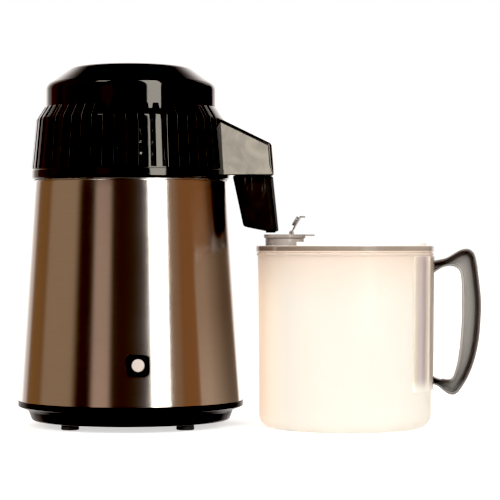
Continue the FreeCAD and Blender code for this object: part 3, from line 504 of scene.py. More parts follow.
def handle_shade(m, tone, flow):
    """Dark outer edge and pale middle, painted by the distance from the handle's edges to match the photograph: painted
    shade darkens the web towards the outer flange, a painted shadow line runs along the lip and at the lower root, and
    the very outer edge is a painted highlight, lighter than the lip.
    """
    outer = m.n("ShaderNodeAttribute", attribute_name="outer_mm").outputs["Fac"]
    inner = m.n("ShaderNodeAttribute", attribute_name="inner_mm").outputs["Fac"]
    x, y, z = m.split(m.obj)
    tone = m.mix(m.rng(outer, 16.5, 6.5, 0.0, 1.0), tone, (0.190, 0.185, 0.173))
    lip = m.math("MULTIPLY", m.rng(outer, 7.0, 4.6, 0.0, 1.0, "SMOOTHSTEP"), m.rng(z, 0.034, 0.052, 0.12, 1.0, "SMOOTHSTEP"))
    root = m.math("MULTIPLY", m.rng(inner, 4.0, 2.2, 0.0, 1.0, "SMOOTHSTEP"), m.math("MULTIPLY", m.rng(z, 0.058, 0.053, 0.0, 1.0), m.rng(x, 0.203, 0.198, 0.0, 1.0)))
    tone = m.mix(m.math("MAXIMUM", lip, root), tone, (0.060, 0.050, 0.047))
    return m.mix(m.rng(outer, 2.0, 0.4, 0.0, 0.75), tone, (0.20, 0.185, 0.175))


milky("jug_milky", (0.893, 0.890, 0.870), (0.882, 0.872, 0.848), 0.86, shade=jug_shade)
milky("lid_milky", (0.255, 0.215, 0.18), (0.225, 0.185, 0.15), 0.45, rough=(0.10, 0.16), shade=lid_shade)
milky("cap_milky", (0.33, 0.285, 0.26), (0.28, 0.24, 0.215), 0.45, rough=(0.09, 0.15))
milky("flap_milky", (0.19, 0.175, 0.16), (0.14, 0.13, 0.12), 0.40)
milky("handle_milky", (0.26, 0.25, 0.235), (0.225, 0.217, 0.203), 0.42)
milky("handle_shaded", (0.320, 0.300, 0.278), (0.285, 0.268, 0.247), 0.40, shade=handle_shade)
milky("saddle_milky", (0.74, 0.70, 0.70), (0.70, 0.655, 0.655), 0.84, shade=saddle_shade)


def dress(ob, mat):
    ob.data.materials.clear()
    ob.data.materials.append(mats[mat])
    return ob


node_mat = {
    "base_tray": "tray_satin", "rubber_feet": "rubber_black", "foot_screws": "zinc_screw", "tie_posts": "cast_aluminium", "base_screws": "zinc_screw",
    "outer_casing": "casing_steel", "boiler_tank": "tank_steel", "heater_plate": "cast_aluminium", "heating_element": "dark_element",
    "plate_washers": "zinc_screw", "plate_nuts": "zinc_screw", "boil_dry_thermostat": "inner_black", "thermostat_screws": "zinc_screw",
    "terminal_block": "block_white", "reset_bezel": "bezel_gloss", "reset_switch": "inner_black", "reset_spring": "drawn_steel",
    "mains_inlet": "inlet_satin", "inlet_pins": "pin_metal", "inlet_screws": "zinc_screw", "fan_supply_socket": "inner_black", "reset_button": "button_white",
    "head_housing": "head_gloss", "top_cover": "head_gloss", "cover_screws": "zinc_screw", "fan_guard": "grille_satin", "guard_screws": "zinc_screw",
    "fan_frame": "inner_black", "fan_motor": "inner_black", "steam_lid": "tank_steel", "head_gasket": "silicone_pale", "lid_screws": "zinc_screw",
    "fan_supply_plug": "inner_black", "condenser_coil": "drawn_steel", "cooling_fins": "cast_aluminium", "coil_brackets": "drawn_steel",
    "spout_housing": "spout_gloss", "spout_screws": "zinc_screw", "nozzle_cup": "nozzle_satin", "charcoal_filter": "charcoal_sachet",
    "fan_rotor": "inner_black", "fan_shaft": "drawn_steel", "jug_body": "jug_milky", "jug_lid": "lid_milky", "neck_cap": "cap_milky",
    "flap_pin": "drawn_steel", "handle_saddle": "saddle_milky", "jug_handle": "handle_milky", "cap_flap": "flap_milky",
}
for name, ob in nodes.items():
    for i in range(len(ob.data.materials)):
        ob.data.materials[i] = mats[node_mat[name]]

# ---------------------------------------------------------------------------------- head: band, ribs and groove backs
RIBS = 52
PITCH = 360.0 / RIBS
PHASE = SPOUT - 1.3
rib_line = rounded([(99.75, 256.5), (94.8, 307.5, 5.0), (86.9, 319.8)], closed=False, step=4.0)


def along(line, z):
    for (r0, z0), (r1, z1) in zip(line, line[1:]):
        if z <= z1 + 1e-9:
            return r0 + (r1 - r0) * (z - z0) / max(z1 - z0, 1e-9)
    return line[-1][0]


def back_r(z):
    """Radius that lies inside the groove back at that height."""
    return along([(96.9, 250.0), (96.9, 257.7), (91.5, 304.0), (86.4, 308.6), (86.35, 330.0)], z)


def rib_section(half_deg, outer, inner, soft, steps):
    """Outline of one rib in its own frame: x along its middle, y across, sides parallel to the grooves."""
    h = math.radians(half_deg)
    side = lambda r: h - math.asin(2.5 / r)
    wide = steps >= 12
    if wide:
        out = [(inner * math.cos(side(inner) * k / 12.0), inner * math.sin(side(inner) * k / 12.0)) for k in range(13)]
    else:
        out = [(inner, inner * math.tan(h) - 2.5 / math.cos(h))]
    for k in range(6):
        w = math.pi / 2 * k / 5
        r = outer - soft * (1 - math.sin(w))
        ang = side(r) - soft / outer * (1 - math.cos(w))
        out.append((r * math.cos(ang), r * math.sin(ang)))
    half = side(outer) - soft / outer
    for k in range(1, steps):
        ang = half * (1 - k / steps)
        out.append((outer * math.cos(ang), outer * math.sin(ang)))
    mirror = [(x, -y) for x, y in reversed(out)]
    if wide:
        mirror = mirror[:-1]
    return out + [(outer, 0.0)] + mirror


def rib_into(bm, deg, half_deg, steps, soft):
    levels = [257.2, 259.0] + [262.0 + 4.4 * k for k in range(10)]
    levels += [z for r, z in rib_line if 305.0 < z < 311.5] + [312.5, 315.0, 317.5, 319.2, 319.6, 319.8]
    levels = sorted(set(round(z, 3) for z in levels))
    c, s = math.cos(math.radians(deg)), math.sin(math.radians(deg))
    loops = []
    for z in levels:
        outer = along(rib_line, z)
        tip = 0.0 if z < 319.5 else (0.06 if z < 319.7 else 0.16)
        inner = back_r(z)
        ro = min(soft if z < 305.0 else 0.85, (outer - inner) * 0.8)
        sec = rib_section(half_deg, outer - tip, inner, ro, steps)
        loops.append([(S + x * c - y * s, x * s + y * c, z) for x, y in sec])
    loft_into(bm, loops)


bm = bmesh.new()
for i in range(RIBS):
    off = i * PITCH
    off = off if off <= 180 else off - 360
    if abs(off) < 2.5 * PITCH:
        continue
    rib_into(bm, PHASE + off, PITCH / 2, 5, 0.40)
rib_into(bm, PHASE, 2.5 * PITCH, 30, 0.60)
ribs = finish_mesh("head_ribs", bm, 40)
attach(ribs, "head")
dress(ribs, "head_gloss")

shell_profile = rounded([
    (97.6, 246.8), (98.9, 246.8, 0.6), (100.2, 248.7, 1.5), (100.2, 255.9, 0.4), (99.75, 256.5, 0.3), (99.63, 257.7, 0.3), (97.7, 257.7), (92.1, 304.5),
    (86.25, 308.9), (86.25, 314.6), (83.6, 314.6), (83.6, 309.0), (90.6, 305.0, 3.0), (96.5, 256.5), (97.2, 252.6), (88.6, 252.6), (88.6, 249.95), (97.6, 249.95),
])
bm = bmesh.new()
lathe_into(bm, shell_profile, 416, S, 0.0)
wall = finish_mesh("head_wall", bm, 28)
bm = bmesh.new()
for i in range(RIBS):
    off = (i + 0.5) * PITCH
    if min(off, 360 - off) < 14.5:
        continue
    box_into(bm, 84.0, 99.0, -0.8, 0.8, 264.0, 300.0, turn(PHASE + off, S, 0.0))
cutter = finish_mesh("slit_cutter", bm, smooth=False)
cut = wall.modifiers.new("slits", "BOOLEAN")
cut.operation, cut.solver, cut.object = "DIFFERENCE", "EXACT", cutter
apply_mods(wall)
bpy.data.objects.remove(cutter)
smooth(wall, 28)
dress(wall, "head_gloss")
# the groove backs take that dull black: painted shade in the slots
wall.data.materials.append(mats["groove_painted_shade"])
for p in wall.data.polygons:
    c = p.center
    r = math.hypot(c.x - S * MM, c.y) * 1000
    z = c.z * 1000
    if 257.75 < z < 314.5 and r > 84.2:
        p.material_index = 1
bm = bmesh.new()
for i in range(4):
    mt = turn(38 + 90 * i, S, 0.0)
    box_into(bm, 78.0, 84.4, -5.0, 5.0, 309.2, 312.2, mt)
    rows = []
    for z in (309.2, 312.2):
        rows.append([mt @ (Vector((78.0 + 5.0 * math.cos(a), 5.0 * math.sin(a), z)) * MM) / MM for a in [math.pi / 2 + math.pi * k / 16 for k in range(17)]])
    loft_into(bm, rows)
lugs = finish_mesh("head_lugs", bm, 30)
dress(lugs, "inner_black")
for ob in (wall, lugs):
    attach(ob, "head")
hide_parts("head_housing")
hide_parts("head_housing")

# ---------------------------------------------------------------------------------- fan grille: rounded rings and spokes
def ring_profile(r0, r1, z0, z1, soft):
    return rounded([(r0, z0, soft), (r1, z0, soft), (r1, z1, soft), (r0, z1, soft)], step=18.0)


bm = bmesh.new()
lathe_into(bm, ring_profile(40.4, 46.9, 358.15, 360.95, 0.45), 192, S, 0.0)
for r in (15.5, 22.0, 28.5, 35.0):
    lathe_into(bm, ring_profile(r - 1.0, r + 1.0, 358.3, 360.8, 0.8), 160, S, 0.0)
hub_top = rounded([(0.0, 358.15), (9.0, 358.15, 0.5), (9.0, 360.6, 0.9), (5.0, 360.9, 2.0), (0.0, 360.95)], closed=False, step=12.0)
lathe_into(bm, hub_top, 96, S, 0.0)
for i in range(8):
    mt = turn(22.5 + 45 * i, S, 0.0)
    sec = rounded([(-1.4, 358.4, 0.6), (1.4, 358.4, 0.6), (1.25, 360.7, 0.8), (-1.25, 360.7, 0.8)], step=18.0)
    loft_into(bm, [[mt @ (Vector((x, y, z)) * MM) / MM for y, z in sec] for x in (7.5, 20.0, 31.0, 41.6)])
grille = finish_mesh("fan_grille", bm, 35)
cut_bm = bmesh.new()
for i in range(4):
    a = math.radians(45 + 90 * i)
    lathe_into(cut_bm, [(0.0, 350.0), (1.6, 350.0), (1.6, 359.55), (2.85, 359.55), (2.85, 364.0), (0.0, 364.0)], 32, S + 43.8 * math.cos(a), 43.8 * math.sin(a))
cutter = finish_mesh("screw_cutter", cut_bm, smooth=False)
cut = grille.modifiers.new("screws", "BOOLEAN")
cut.operation, cut.solver, cut.object = "DIFFERENCE", "EXACT", cutter
cut.use_self = True
apply_mods(grille)
bpy.data.objects.remove(cutter)
smooth(grille, 35)
dress(grille, "grille_satin")
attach(grille, "head")
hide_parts("fan_guard")

# ---------------------------------------------------------------------------------- fan rotor: hub and seven twisted blades
bm = bmesh.new()
hub = rounded([(1.5, 350.6), (17.3, 350.6), (17.3, 336.0), (19.2, 336.0, 0.5), (19.2, 353.2, 2.2), (8.0, 353.2, 1.0), (6.4, 352.7, 0.6), (1.5, 352.7)], step=10.0)
lathe_into(bm, hub, 128, S, 0.0)
for i in range(7):
    base = 360.0 / 7 * i
    loops = []
    for r in (18.6, 21.0, 24.0, 27.0, 30.0, 33.0, 35.5, 37.2):
        t = (r - 18.6) / 18.6
        chord = 19.0 + 4.5 * t
        pitch = math.radians(44 - 20 * t)
        sweep = math.radians(-4 + 13 * t)
        loop = []
        sec = []
        for k in range(13):
            q = -1 + 2 * k / 12.0
            sec.append((q, 0.75 * math.sqrt(max(0.0, 1 - q * q * 0.985)) + 0.05))
        camber = 1.5
        pts = [(q, h) for q, h in sec] + [(q, -h * 0.6) for q, h in reversed(sec)]
        for q, h in pts:
            along_c = q * chord / 2
            up = h * 0.6 + camber * (1 - q * q)
            ty = along_c * math.cos(pitch) - up * math.sin(pitch)
            tz = along_c * math.sin(pitch) + up * math.cos(pitch)
            tz = max(-7.0, min(7.2, tz))
            ang = ty / r + sweep + math.radians(base)
            loop.append((S + r * math.cos(ang), r * math.sin(ang), 344.3 + tz))
        loops.append(loop)
    loft_into(bm, loops)
rotor = finish_mesh("fan_blades", bm, 38)
dress(rotor, "fan_black")
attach(rotor, "fan")
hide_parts("fan_rotor")

# ---------------------------------------------------------------------------------- casing: tapered steel skin with a rolled top edge
SLOPE = (112.5 - 98.0) / (245.5 - 26.0)
TILT = math.atan(SLOPE)


def casing_r(z):
    return 112.5 - (z - 26.0) * SLOPE


def on_casing(deg, z):
    a = math.radians(deg)
    n = Vector((math.cos(a) * math.cos(TILT), math.sin(a) * math.cos(TILT), math.sin(TILT)))
    x = Vector((-math.sin(a), math.cos(a), 0.0))
    y = n.cross(x)
    r = casing_r(z)
    m = Matrix((x, y, n)).transposed().to_4x4()
    m.translation = Vector((S + r * math.cos(a), r * math.sin(a), z)) * MM
    return m


outer = [(casing_r(26.05), 26.05)] + [(casing_r(z), z) for z in (60.0, 100.0, 140.0, 180.0, 215.0, 235.0)]
casing_profile = rounded(outer + [(casing_r(245.5), 245.5, 1.1), (96.4, 245.5), (93.0, 245.5), (93.0, 244.7), (96.6, 244.7, 0.5), (casing_r(243.6) - 0.8, 243.6), (casing_r(26.05) - 0.8, 26.05)], step=11.0)
bm = bmesh.new()
lathe_into(bm, casing_profile, 480, S, 0.0)
casing = finish_mesh("casing_shell", bm, 40)


def slot_loop(x0, x1, y0, y1, r, z):
    return [(x, y, z) for x, y in rounded([(x0, y0, r), (x1, y0, r), (x1, y1, r), (x0, y1, r)], step=15.0)]


bm = bmesh.new()
for deg, z, w, h in ((-83.25, 66.0, 9.5, 8.5), (90.0, 46.5, 14.0, 10.2)):
    mt = on_casing(deg, z)
    loops = [[mt @ (Vector(p) * MM) / MM for p in slot_loop(-w, w, -h, h, 2.0, d)] for d in (-6.0, 6.0)]
    loft_into(bm, loops)
for sx in (-20.0, 20.0):
    mt = on_casing(90.0, 46.5)
    loops = [[mt @ (Vector((sx + 1.7 * math.cos(a), 1.7 * math.sin(a), d)) * MM) / MM for a in [2 * math.pi * k / 24 for k in range(24)]] for d in (-6.0, 6.0)]
    loft_into(bm, loops)
box_into(bm, 88.0, 96.8, -10.0, 10.0, 240.0, 250.0, turn(135.0, S, 0.0))
cutter = finish_mesh("casing_cutter", bm, smooth=False)
cut = casing.modifiers.new("holes", "BOOLEAN")
cut.operation, cut.solver, cut.object = "DIFFERENCE", "EXACT", cutter
apply_mods(casing)
bpy.data.objects.remove(cutter)
smooth(casing, 40)
dress(casing, "casing_steel")
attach(casing, "base")
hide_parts("outer_casing")


# reset spring: a coil between the switch body and the button
mt = on_casing(-83.25, 66.0)
loops = []
for k in range(85):
    a = 2 * math.pi * k / 24
    c, s = math.cos(a), math.sin(a)
    ring = [(3.75 + 0.3 * math.cos(2 * math.pi * j / 12), 0.3 * math.sin(2 * math.pi * j / 12)) for j in range(12)]
    loops.append([mt @ (Vector((r * c, r * s, -8.6 + 5.2 * k / 84 + h)) * MM) / MM for r, h in ring])
bm = bmesh.new()
loft_into(bm, loops)
coil = finish_mesh("spring_coil", bm, 40)
dress(coil, "drawn_steel")
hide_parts("reset_spring")
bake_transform(coil)
# ---------------------------------------------------------------------------------- spout: drafted wedge with rolled edges
DRAFT = math.tan(math.radians(7.0))


def side_half(z):
    return 23.0 - (z - 250.8) * DRAFT


def into_wall(v, z):
    """How far out the spout starts, just inside the head's face."""
    r = along(rib_line, min(max(z, 256.5), 319.0)) - 1.5 if z > 257.5 else 98.6
    return math.sqrt(max(r * r - v * v, 1.0))


TOP_A, TOP_B = (80.0, 314.2), (144.5, 282.5)
END_B = (147.5, 250.8)


def outline(v_mid):
    """Side view of the spout as (u, z, edge radius), from the head along the top, down the end and back."""
    k = (TOP_B[1] - TOP_A[1]) / (TOP_B[0] - TOP_A[0])
    line = rounded([(92.0, TOP_A[1] + k * 12.0), (TOP_B[0], TOP_B[1], 4.0), (END_B[0], END_B[1], 1.4), (92.0, 250.8)], closed=False, step=9.0)
    pts = []
    for (a, b), (c, d) in zip(line, line[1:]):
        n = max(1, int(math.hypot(c - a, d - b) / 3.0))
        for i in range(n):
            pts.append((a + (c - a) * i / n, b + (d - b) * i / n))
    pts.append(line[-1])
    return pts


base_line = outline(0.0)
n_line = len(base_line)
normals = []
for i, (u, z) in enumerate(base_line):
    a = base_line[max(i - 1, 0)]
    b = base_line[min(i + 1, n_line - 1)]
    t = Vector((b[0] - a[0], b[1] - a[1])).normalized()
    normals.append(Vector((t.y, -t.x)))                # into the side face
centre = Vector((118.0, 272.0))
normals = [n if n.dot(centre - Vector(p)) > 0 else -n for n, p in zip(normals, base_line)]


def edge_radius(u, z):
    if z < 251.5:
        return 1.0
    if z < 260.0:
        return 1.0 + (3.4 - 1.0) * (z - 251.5) / 8.5
    return 3.4


def spout_ring(sign, w, inset):
    """One ring of the shell: w from 0 at the rim surface to 90 degrees on the side face, inset beyond that."""
    ring = []
    for (u, z), n in zip(base_line, normals):
        r = edge_radius(u, z)
        off = r * (1 - math.cos(w)) + inset
        uu, zz = u + n.x * off, z + n.y * off
        v = side_half(zz) - r * (1 - math.sin(w))
        ring.append([uu, sign * v, zz])
    # the two ends stand inside the head's wall
    lo_z, hi_z = ring[-1][2], ring[0][2]
    for p in ring:
        start = into_wall(abs(p[1]), p[2])
        if p[0] < start:
            p[0] = start
    back = []
    for i in range(1, 14):
        z = lo_z + (hi_z - lo_z) * i / 14.0
        v = ring[0][1] * (i / 14.0) + ring[-1][1] * (1 - i / 14.0)
        v = math.copysign(min(abs(v), side_half(z) - 0.05), v) if v else 0.0
        back.append([into_wall(abs(v), z), v, z])
    return ring + back


rings = []
for k in range(7):
    rings.append(spout_ring(1, math.pi / 2 * (1 - k / 6.0), 0.0))
across = []
for t in (0.75, 0.5, 0.25, 0.0, -0.25, -0.5, -0.75):
    ring = []
    for p in spout_ring(1, 0.0, 0.0):
        q = [p[0], p[1] * t, p[2]]
        ring.append(q)
    across.append(ring)
for ring in across:
    for i, p in enumerate(ring):
        start = into_wall(abs(p[1]), p[2])
        if i >= n_line or p[0] < start:
            p[0] = start
rings += across
for k in range(7):
    rings.append(spout_ring(-1, math.pi / 2 * k / 6.0, 0.0))
bm = bmesh.new()
mt = turn(SPOUT, S, 0.0)
rows = [[bm.verts.new(mt @ (Vector(p) * MM)) for p in ring] for ring in rings]
n = len(rows[0])
for a, b in zip(rows, rows[1:]):
    for k in range(n):
        bm.faces.new((a[k], a[(k + 1) % n], b[(k + 1) % n], b[k]))
sides = [bm.faces.new(row) for row in (rows[0], rows[-1])]
bmesh.ops.recalc_face_normals(bm, faces=bm.faces)
bmesh.ops.inset_individual(bm, faces=sides, thickness=0.00035, depth=0.0)      # keeps the flat of each side flat
spout = finish_mesh("spout_shell", bm, 34)
dress(spout, "spout_gloss")
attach(spout, "head")
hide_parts("spout_housing")


# ---------------------------------------------------------------------------------- nozzle cup
def cup_bottom(u):
    a = 203.9 - (u - 100.0) * (9.1 / 39.5)
    b = 194.5 + (u - 143.0) * (2.0 / 17.0)
    k = 1.2
    return k * math.log(math.exp((a - 190.0) / k) + math.exp((b - 190.0) / k)) + 190.0 if max(a, b) < 230 else max(a, b)


def cup_side():
    top = rounded([(105.0, -16.5, 6.0), (143.1, -16.5, 6.0), (143.1, 16.5, 6.0), (105.0, 16.5, 6.0)], step=8.0)
    low = rounded([(117.4, -13.7, 5.0), (149.4, -13.7, 5.0), (149.4, 13.7, 5.0), (117.4, 13.7, 5.0)], step=8.0)
    return top, low


top_loop, low_loop = cup_side()
soft_edge = 1.9
loops = []
perimeter = []
for (tu, tv), (lu, lv) in zip(top_loop, low_loop):
    lo, hi = 0.0, 1.0
    for _ in range(40):
        t = (lo + hi) / 2
        u, z = tu + (lu - tu) * t, 250.5 - 58.5 * t
        if z > cup_bottom(u):
            lo = t
        else:
            hi = t
    perimeter.append((tu, tv, lu, lv, lo))
n_per = len(perimeter)


def on_side(i, t):
    tu, tv, lu, lv, _ = perimeter[i]
    return Vector((tu + (lu - tu) * t, tv + (lv - tv) * t, 250.5 - 58.5 * t))


inward = []
for i in range(n_per):
    a = on_side(i - 1, perimeter[i - 1][4])
    b = on_side((i + 1) % n_per, perimeter[(i + 1) % n_per][4])
    t = Vector((b.x - a.x, b.y - a.y))
    nrm = Vector((-t.y, t.x)).normalized()
    c = on_side(i, perimeter[i][4])
    if nrm.dot(Vector((134.0 - c.x, -c.y))) < 0:
        nrm = -nrm
    inward.append(nrm)
cup_rows = []
for t in (0.0, 0.012, 0.1, 0.25, 0.4, 0.55, 0.7, 0.85):
    cup_rows.append([on_side(i, perimeter[i][4] * t if t > 0.012 else t) for i in range(n_per)])
for i in range(n_per):                     # small relief at the very top, where the cup leaves its collar
    cup_rows[0][i] = cup_rows[0][i] + Vector((inward[i].x * 0.6, inward[i].y * 0.6, 0))
for k in range(7):
    w = math.pi / 2 * k / 6.0
    row = []
    for i in range(n_per):
        foot = on_side(i, perimeter[i][4])
        up = (on_side(i, 0.0) - foot).normalized()
        p = foot + up * soft_edge * (1 - math.sin(w))
        p += Vector((inward[i].x, inward[i].y, 0)) * soft_edge * (1 - math.cos(w))
        p.z = cup_bottom(p.x) + soft_edge * (1 - math.sin(w))
        row.append(p)
    cup_rows.append(row)
last = cup_rows[-1]
for t in (0.8, 0.6, 0.4, 0.2):
    row = []
    for p in last:
        q = Vector((133.0, 0.0, 0.0)).lerp(Vector((p.x, p.y, 0.0)), t)
        q.z = cup_bottom(q.x)
        row.append(q)
    cup_rows.append(row)
bm = bmesh.new()
rows = [[bm.verts.new(mt @ (Vector(p) * MM)) for p in row] for row in cup_rows]
for a, b in zip(rows, rows[1:]):
    for k in range(n_per):
        bm.faces.new((a[k], a[(k + 1) % n_per], b[(k + 1) % n_per], b[k]))
bm.faces.new(rows[0])
bm.faces.new(rows[-1])
tip = rounded([(2.2, 199.0), (2.2, 194.0, 0.2), (4.7, 193.95, 0.7), (5.3, 199.0)], step=15.0)
c, s = math.cos(math.radians(SPOUT)), math.sin(math.radians(SPOUT))
lathe_into(bm, tip, 64, S + 142.0 * c, 142.0 * s)
cup = finish_mesh("nozzle_shell", bm, 38)
dress(cup, "nozzle_satin")
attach(cup, "head")
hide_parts("nozzle_cup")

# ---------------------------------------------------------------------------------- jug: handle and its saddle
def jug_r(z):
    return 85.5 + 1.5 * z / 174.0


jug_m = Matrix.Translation(Vector((JX, JY, 0)) * MM) @ Matrix.Rotation(math.radians(JTURN), 4, "Z")

pairs = [
    ((87.6, 166.2), (87.4, 153.3)), ((92.0, 166.6), (90.6, 155.3)), ((100.5, 168.6), (96.4, 159.2)), ((107.0, 172.2), (101.2, 160.7)),
    ((113.3, 175.9), (105.2, 161.0)), ((119.0, 177.7), (108.6, 160.4)), ((124.4, 177.0), (111.5, 158.9)), ((128.6, 172.4), (113.4, 156.7)),
    ((131.1, 162.0), (115.1, 152.6)), ((133.3, 146.0), (116.1, 143.0)), ((134.9, 130.0), (116.3, 130.5)), ((135.1, 118.0), (116.3, 118.5)),
    ((134.3, 102.0), (115.95, 103.5)), ((132.9, 88.0), (115.0, 90.0)), ((130.2, 74.0), (113.8, 77.6)), ((126.3, 61.0), (112.1, 66.5)),
    ((121.8, 50.5), (110.4, 59.0)), ((116.6, 41.6), (108.7, 53.6)), ((112.4, 36.0), (107.0, 50.0)), ((108.0, 33.4), (104.6, 48.4)),
    ((103.0, 34.2), (101.4, 48.1)), ((98.3, 37.2), (98.0, 48.6)), ((93.5, 41.2), (94.0, 48.5)), ((89.5, 43.2), (89.6, 50.2)), ((86.7, 43.4), (86.7, 51.5)),
]


def through(points, t):
    """Catmull-Rom through the points."""
    n = len(points) - 1
    i = min(int(t), n - 1)
    f = t - i
    p = [Vector(points[min(max(i + k, 0), n)]) for k in (-1, 0, 1, 2)]
    return 0.5 * ((2 * p[1]) + (p[2] - p[0]) * f + (2 * p[0] - 5 * p[1] + 4 * p[2] - p[3]) * f * f + (3 * p[1] - p[0] - 3 * p[2] + p[3]) * f ** 3)


bm = bmesh.new()
loops = []
stations = (len(pairs) - 1) * 7
for k in range(stations + 1):
    t = k / 7.0
    o, i = through([p[0] for p in pairs], t), through([p[1] for p in pairs], t)
    d = o - i
    L = d.length
    d.normalize()
    to, ti = min(3.0, 0.30 * L), min(2.6, 0.27 * L)
    f = min(1.7, 0.42 * (L - to - ti))
    flare = max(0.0, 1.0 - t / 1.6, 1.0 - (stations / 7.0 - t) / 1.6)
    wo, wi = 11.0 + 1.2 * flare ** 2, 9.0 + 1.2 * flare ** 2
    web = 1.6 + 0.9 * flare ** 2
    eo, ei = to * 0.42, ti * 0.42
    sec = rounded([(L, -wo, eo), (L, wo, eo), (L - to, wo, eo), (L - to, web, f), (ti, web, f), (ti, wi, ei), (0.0, wi, ei), (0.0, -wi, ei), (ti, -wi, ei), (ti, -web, f),
                   (L - to, -web, f), (L - to, -wo, eo)], step=15.0)
    loops.append([(i.x + d.x * a, b, i.y + d.y * a) for a, b in sec])
loft_into(bm, loops)
outer_line = [through([p[0] for p in pairs], k / 7.0) for k in range(stations + 1)]
inner_line = [through([p[1] for p in pairs], k / 7.0) for k in range(stations + 1)]
outer_mm, inner_mm = [], []
for v in bm.verts:
    c = Vector((v.co.x, v.co.z)) * 1000.0
    outer_mm.append(min((c - q).length for q in outer_line))
    inner_mm.append(min((c - q).length for q in inner_line))
bm.transform(jug_m)
handle = finish_mesh("jug_grip", bm, 42)
for name, values in (("outer_mm", outer_mm), ("inner_mm", inner_mm)):
    layer = handle.data.attributes.new(name, "FLOAT", "POINT")
    layer.data.foreach_set("value", values)
handle.data.materials.append(mats["handle_shaded"])
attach(handle, "jug")
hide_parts("jug_handle")

bm = bmesh.new()
z0, z1, thick = 38.0, 170.35, 2.0
loops = []
ends = []
for k in range(7):
    w = math.pi / 2 * k / 6.0
    ends.append((1.3 * (1 - math.cos(w)), 1.3 * (1 - math.sin(w))))
span = [(-37.5 + math.degrees(a / 88.0), b) for a, b in ends]
span += [(-37.5 + 75.0 * j / 48.0, 0.0) for j in range(2, 47)]
span += [(37.5 - math.degrees(a / 88.0), b) for a, b in reversed(ends)]
for deg, thin in span:
    t = thick - thin
    r = min(0.75, t * 0.6)
    prof = rounded([(jug_r(z0) + 0.1, z0), (jug_r(z0) + 0.1 + t, z0, r), (jug_r(z1) + 0.1 + t, z1, r), (jug_r(z1) + 0.1, z1)], step=18.0)
    pts = []
    for (a, b), (c, e) in zip(prof, prof[1:] + prof[:1]):
        n = max(1, int(abs(e - b) / 12.0))
        pts += [(a + (c - a) * q / n, b + (e - b) * q / n) for q in range(n)]
    cc, ss = math.cos(math.radians(deg)), math.sin(math.radians(deg))
    loops.append([(p[0] * cc, p[0] * ss, p[1]) for p in pts])
loft_into(bm, loops)
bm.transform(jug_m)
saddle = finish_mesh("handle_base", bm, 34)
dress(saddle, "saddle_milky")
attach(saddle, "jug")
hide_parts("handle_saddle")

# ---------------------------------------------------------------------------------- stage
def floor_plane():
    me = bpy.data.meshes.new("floor")
    k = 14.0
    me.from_pydata([(-k, -k, 0), (k, -k, 0), (k, k, 0), (-k, k, 0)], [], [(0, 1, 2, 3)])
    ob = bpy.data.objects.new("floor", me)
    scene.collection.objects.link(ob)
    t = Tree(bpy.data.materials.new("floor_pale"))
    out = t.n("ShaderNodeOutputMaterial")
    b = t.n("ShaderNodeBsdfPrincipled")
    t.nt.links.new(b.outputs[0], out.inputs["Surface"])
    grain = t.noise(t.n("ShaderNodeTexCoord").outputs["Object"], 180.0, 3.0, 0.5)
    t.put(b.inputs["Base Color"], t.mix(t.rng(grain, 0.35, 0.65), (0.52, 0.515, 0.51), (0.50, 0.495, 0.49)))
    b.inputs["Roughness"].default_value = 0.9
    b.inputs["Specular IOR Level"].default_value = 0.1
    b.inputs["Emission Color"].default_value = (1.0, 0.99, 0.98, 1.0)
    b.inputs["Emission Strength"].default_value = 0.62
    me.materials.append(t.owner)
    ob.visible_glossy = False
    return ob


floor_plane()


def soft_box(name, azimuth, elevation, distance, width, height, radiance, tint, aim=(S * MM, 0.0, 0.2)):
    """Rectangular light; azimuth is measured from the camera's side (-Y) towards +X."""
    a, e = math.radians(azimuth), math.radians(elevation)
    aim = Vector(aim)
    d = Vector((math.sin(a) * math.cos(e), -math.cos(a) * math.cos(e), math.sin(e)))
    data = bpy.data.lights.new(name, "AREA")
    data.shape = "RECTANGLE"
    data.size, data.size_y = width, height
    data.energy = radiance * width * height * math.pi
    data.color = tint
    ob = bpy.data.objects.new(name, data)
    ob.location = aim + d * distance
    ob.rotation_mode = "QUATERNION"
    ob.rotation_quaternion = d.to_track_quat("Z", "Y")
    ob.visible_camera = False
    scene.collection.objects.link(ob)
    return ob


soft_box("strip_right", 33.35, 27.0, 1.75, 0.600, 2.10, 9.0, (1.0, 0.985, 0.95))
soft_box("softbox_left_high", -42.5, 48.0, 1.8, 0.42, 0.50, 4.6, (1.0, 0.97, 0.93))

# a small softbox flagged off everything but the spout
flag = bpy.data.collections.new("spout_light")
flag.objects.link(bpy.data.objects["spout_shell"])
small = soft_box("softbox_spout", -14.2, 16.5, 1.6, 0.50, 0.46, 8.4, (1.0, 0.945, 0.85), aim=(0.0064, -0.038, 0.275))
small.light_linking.receiver_collection = flag


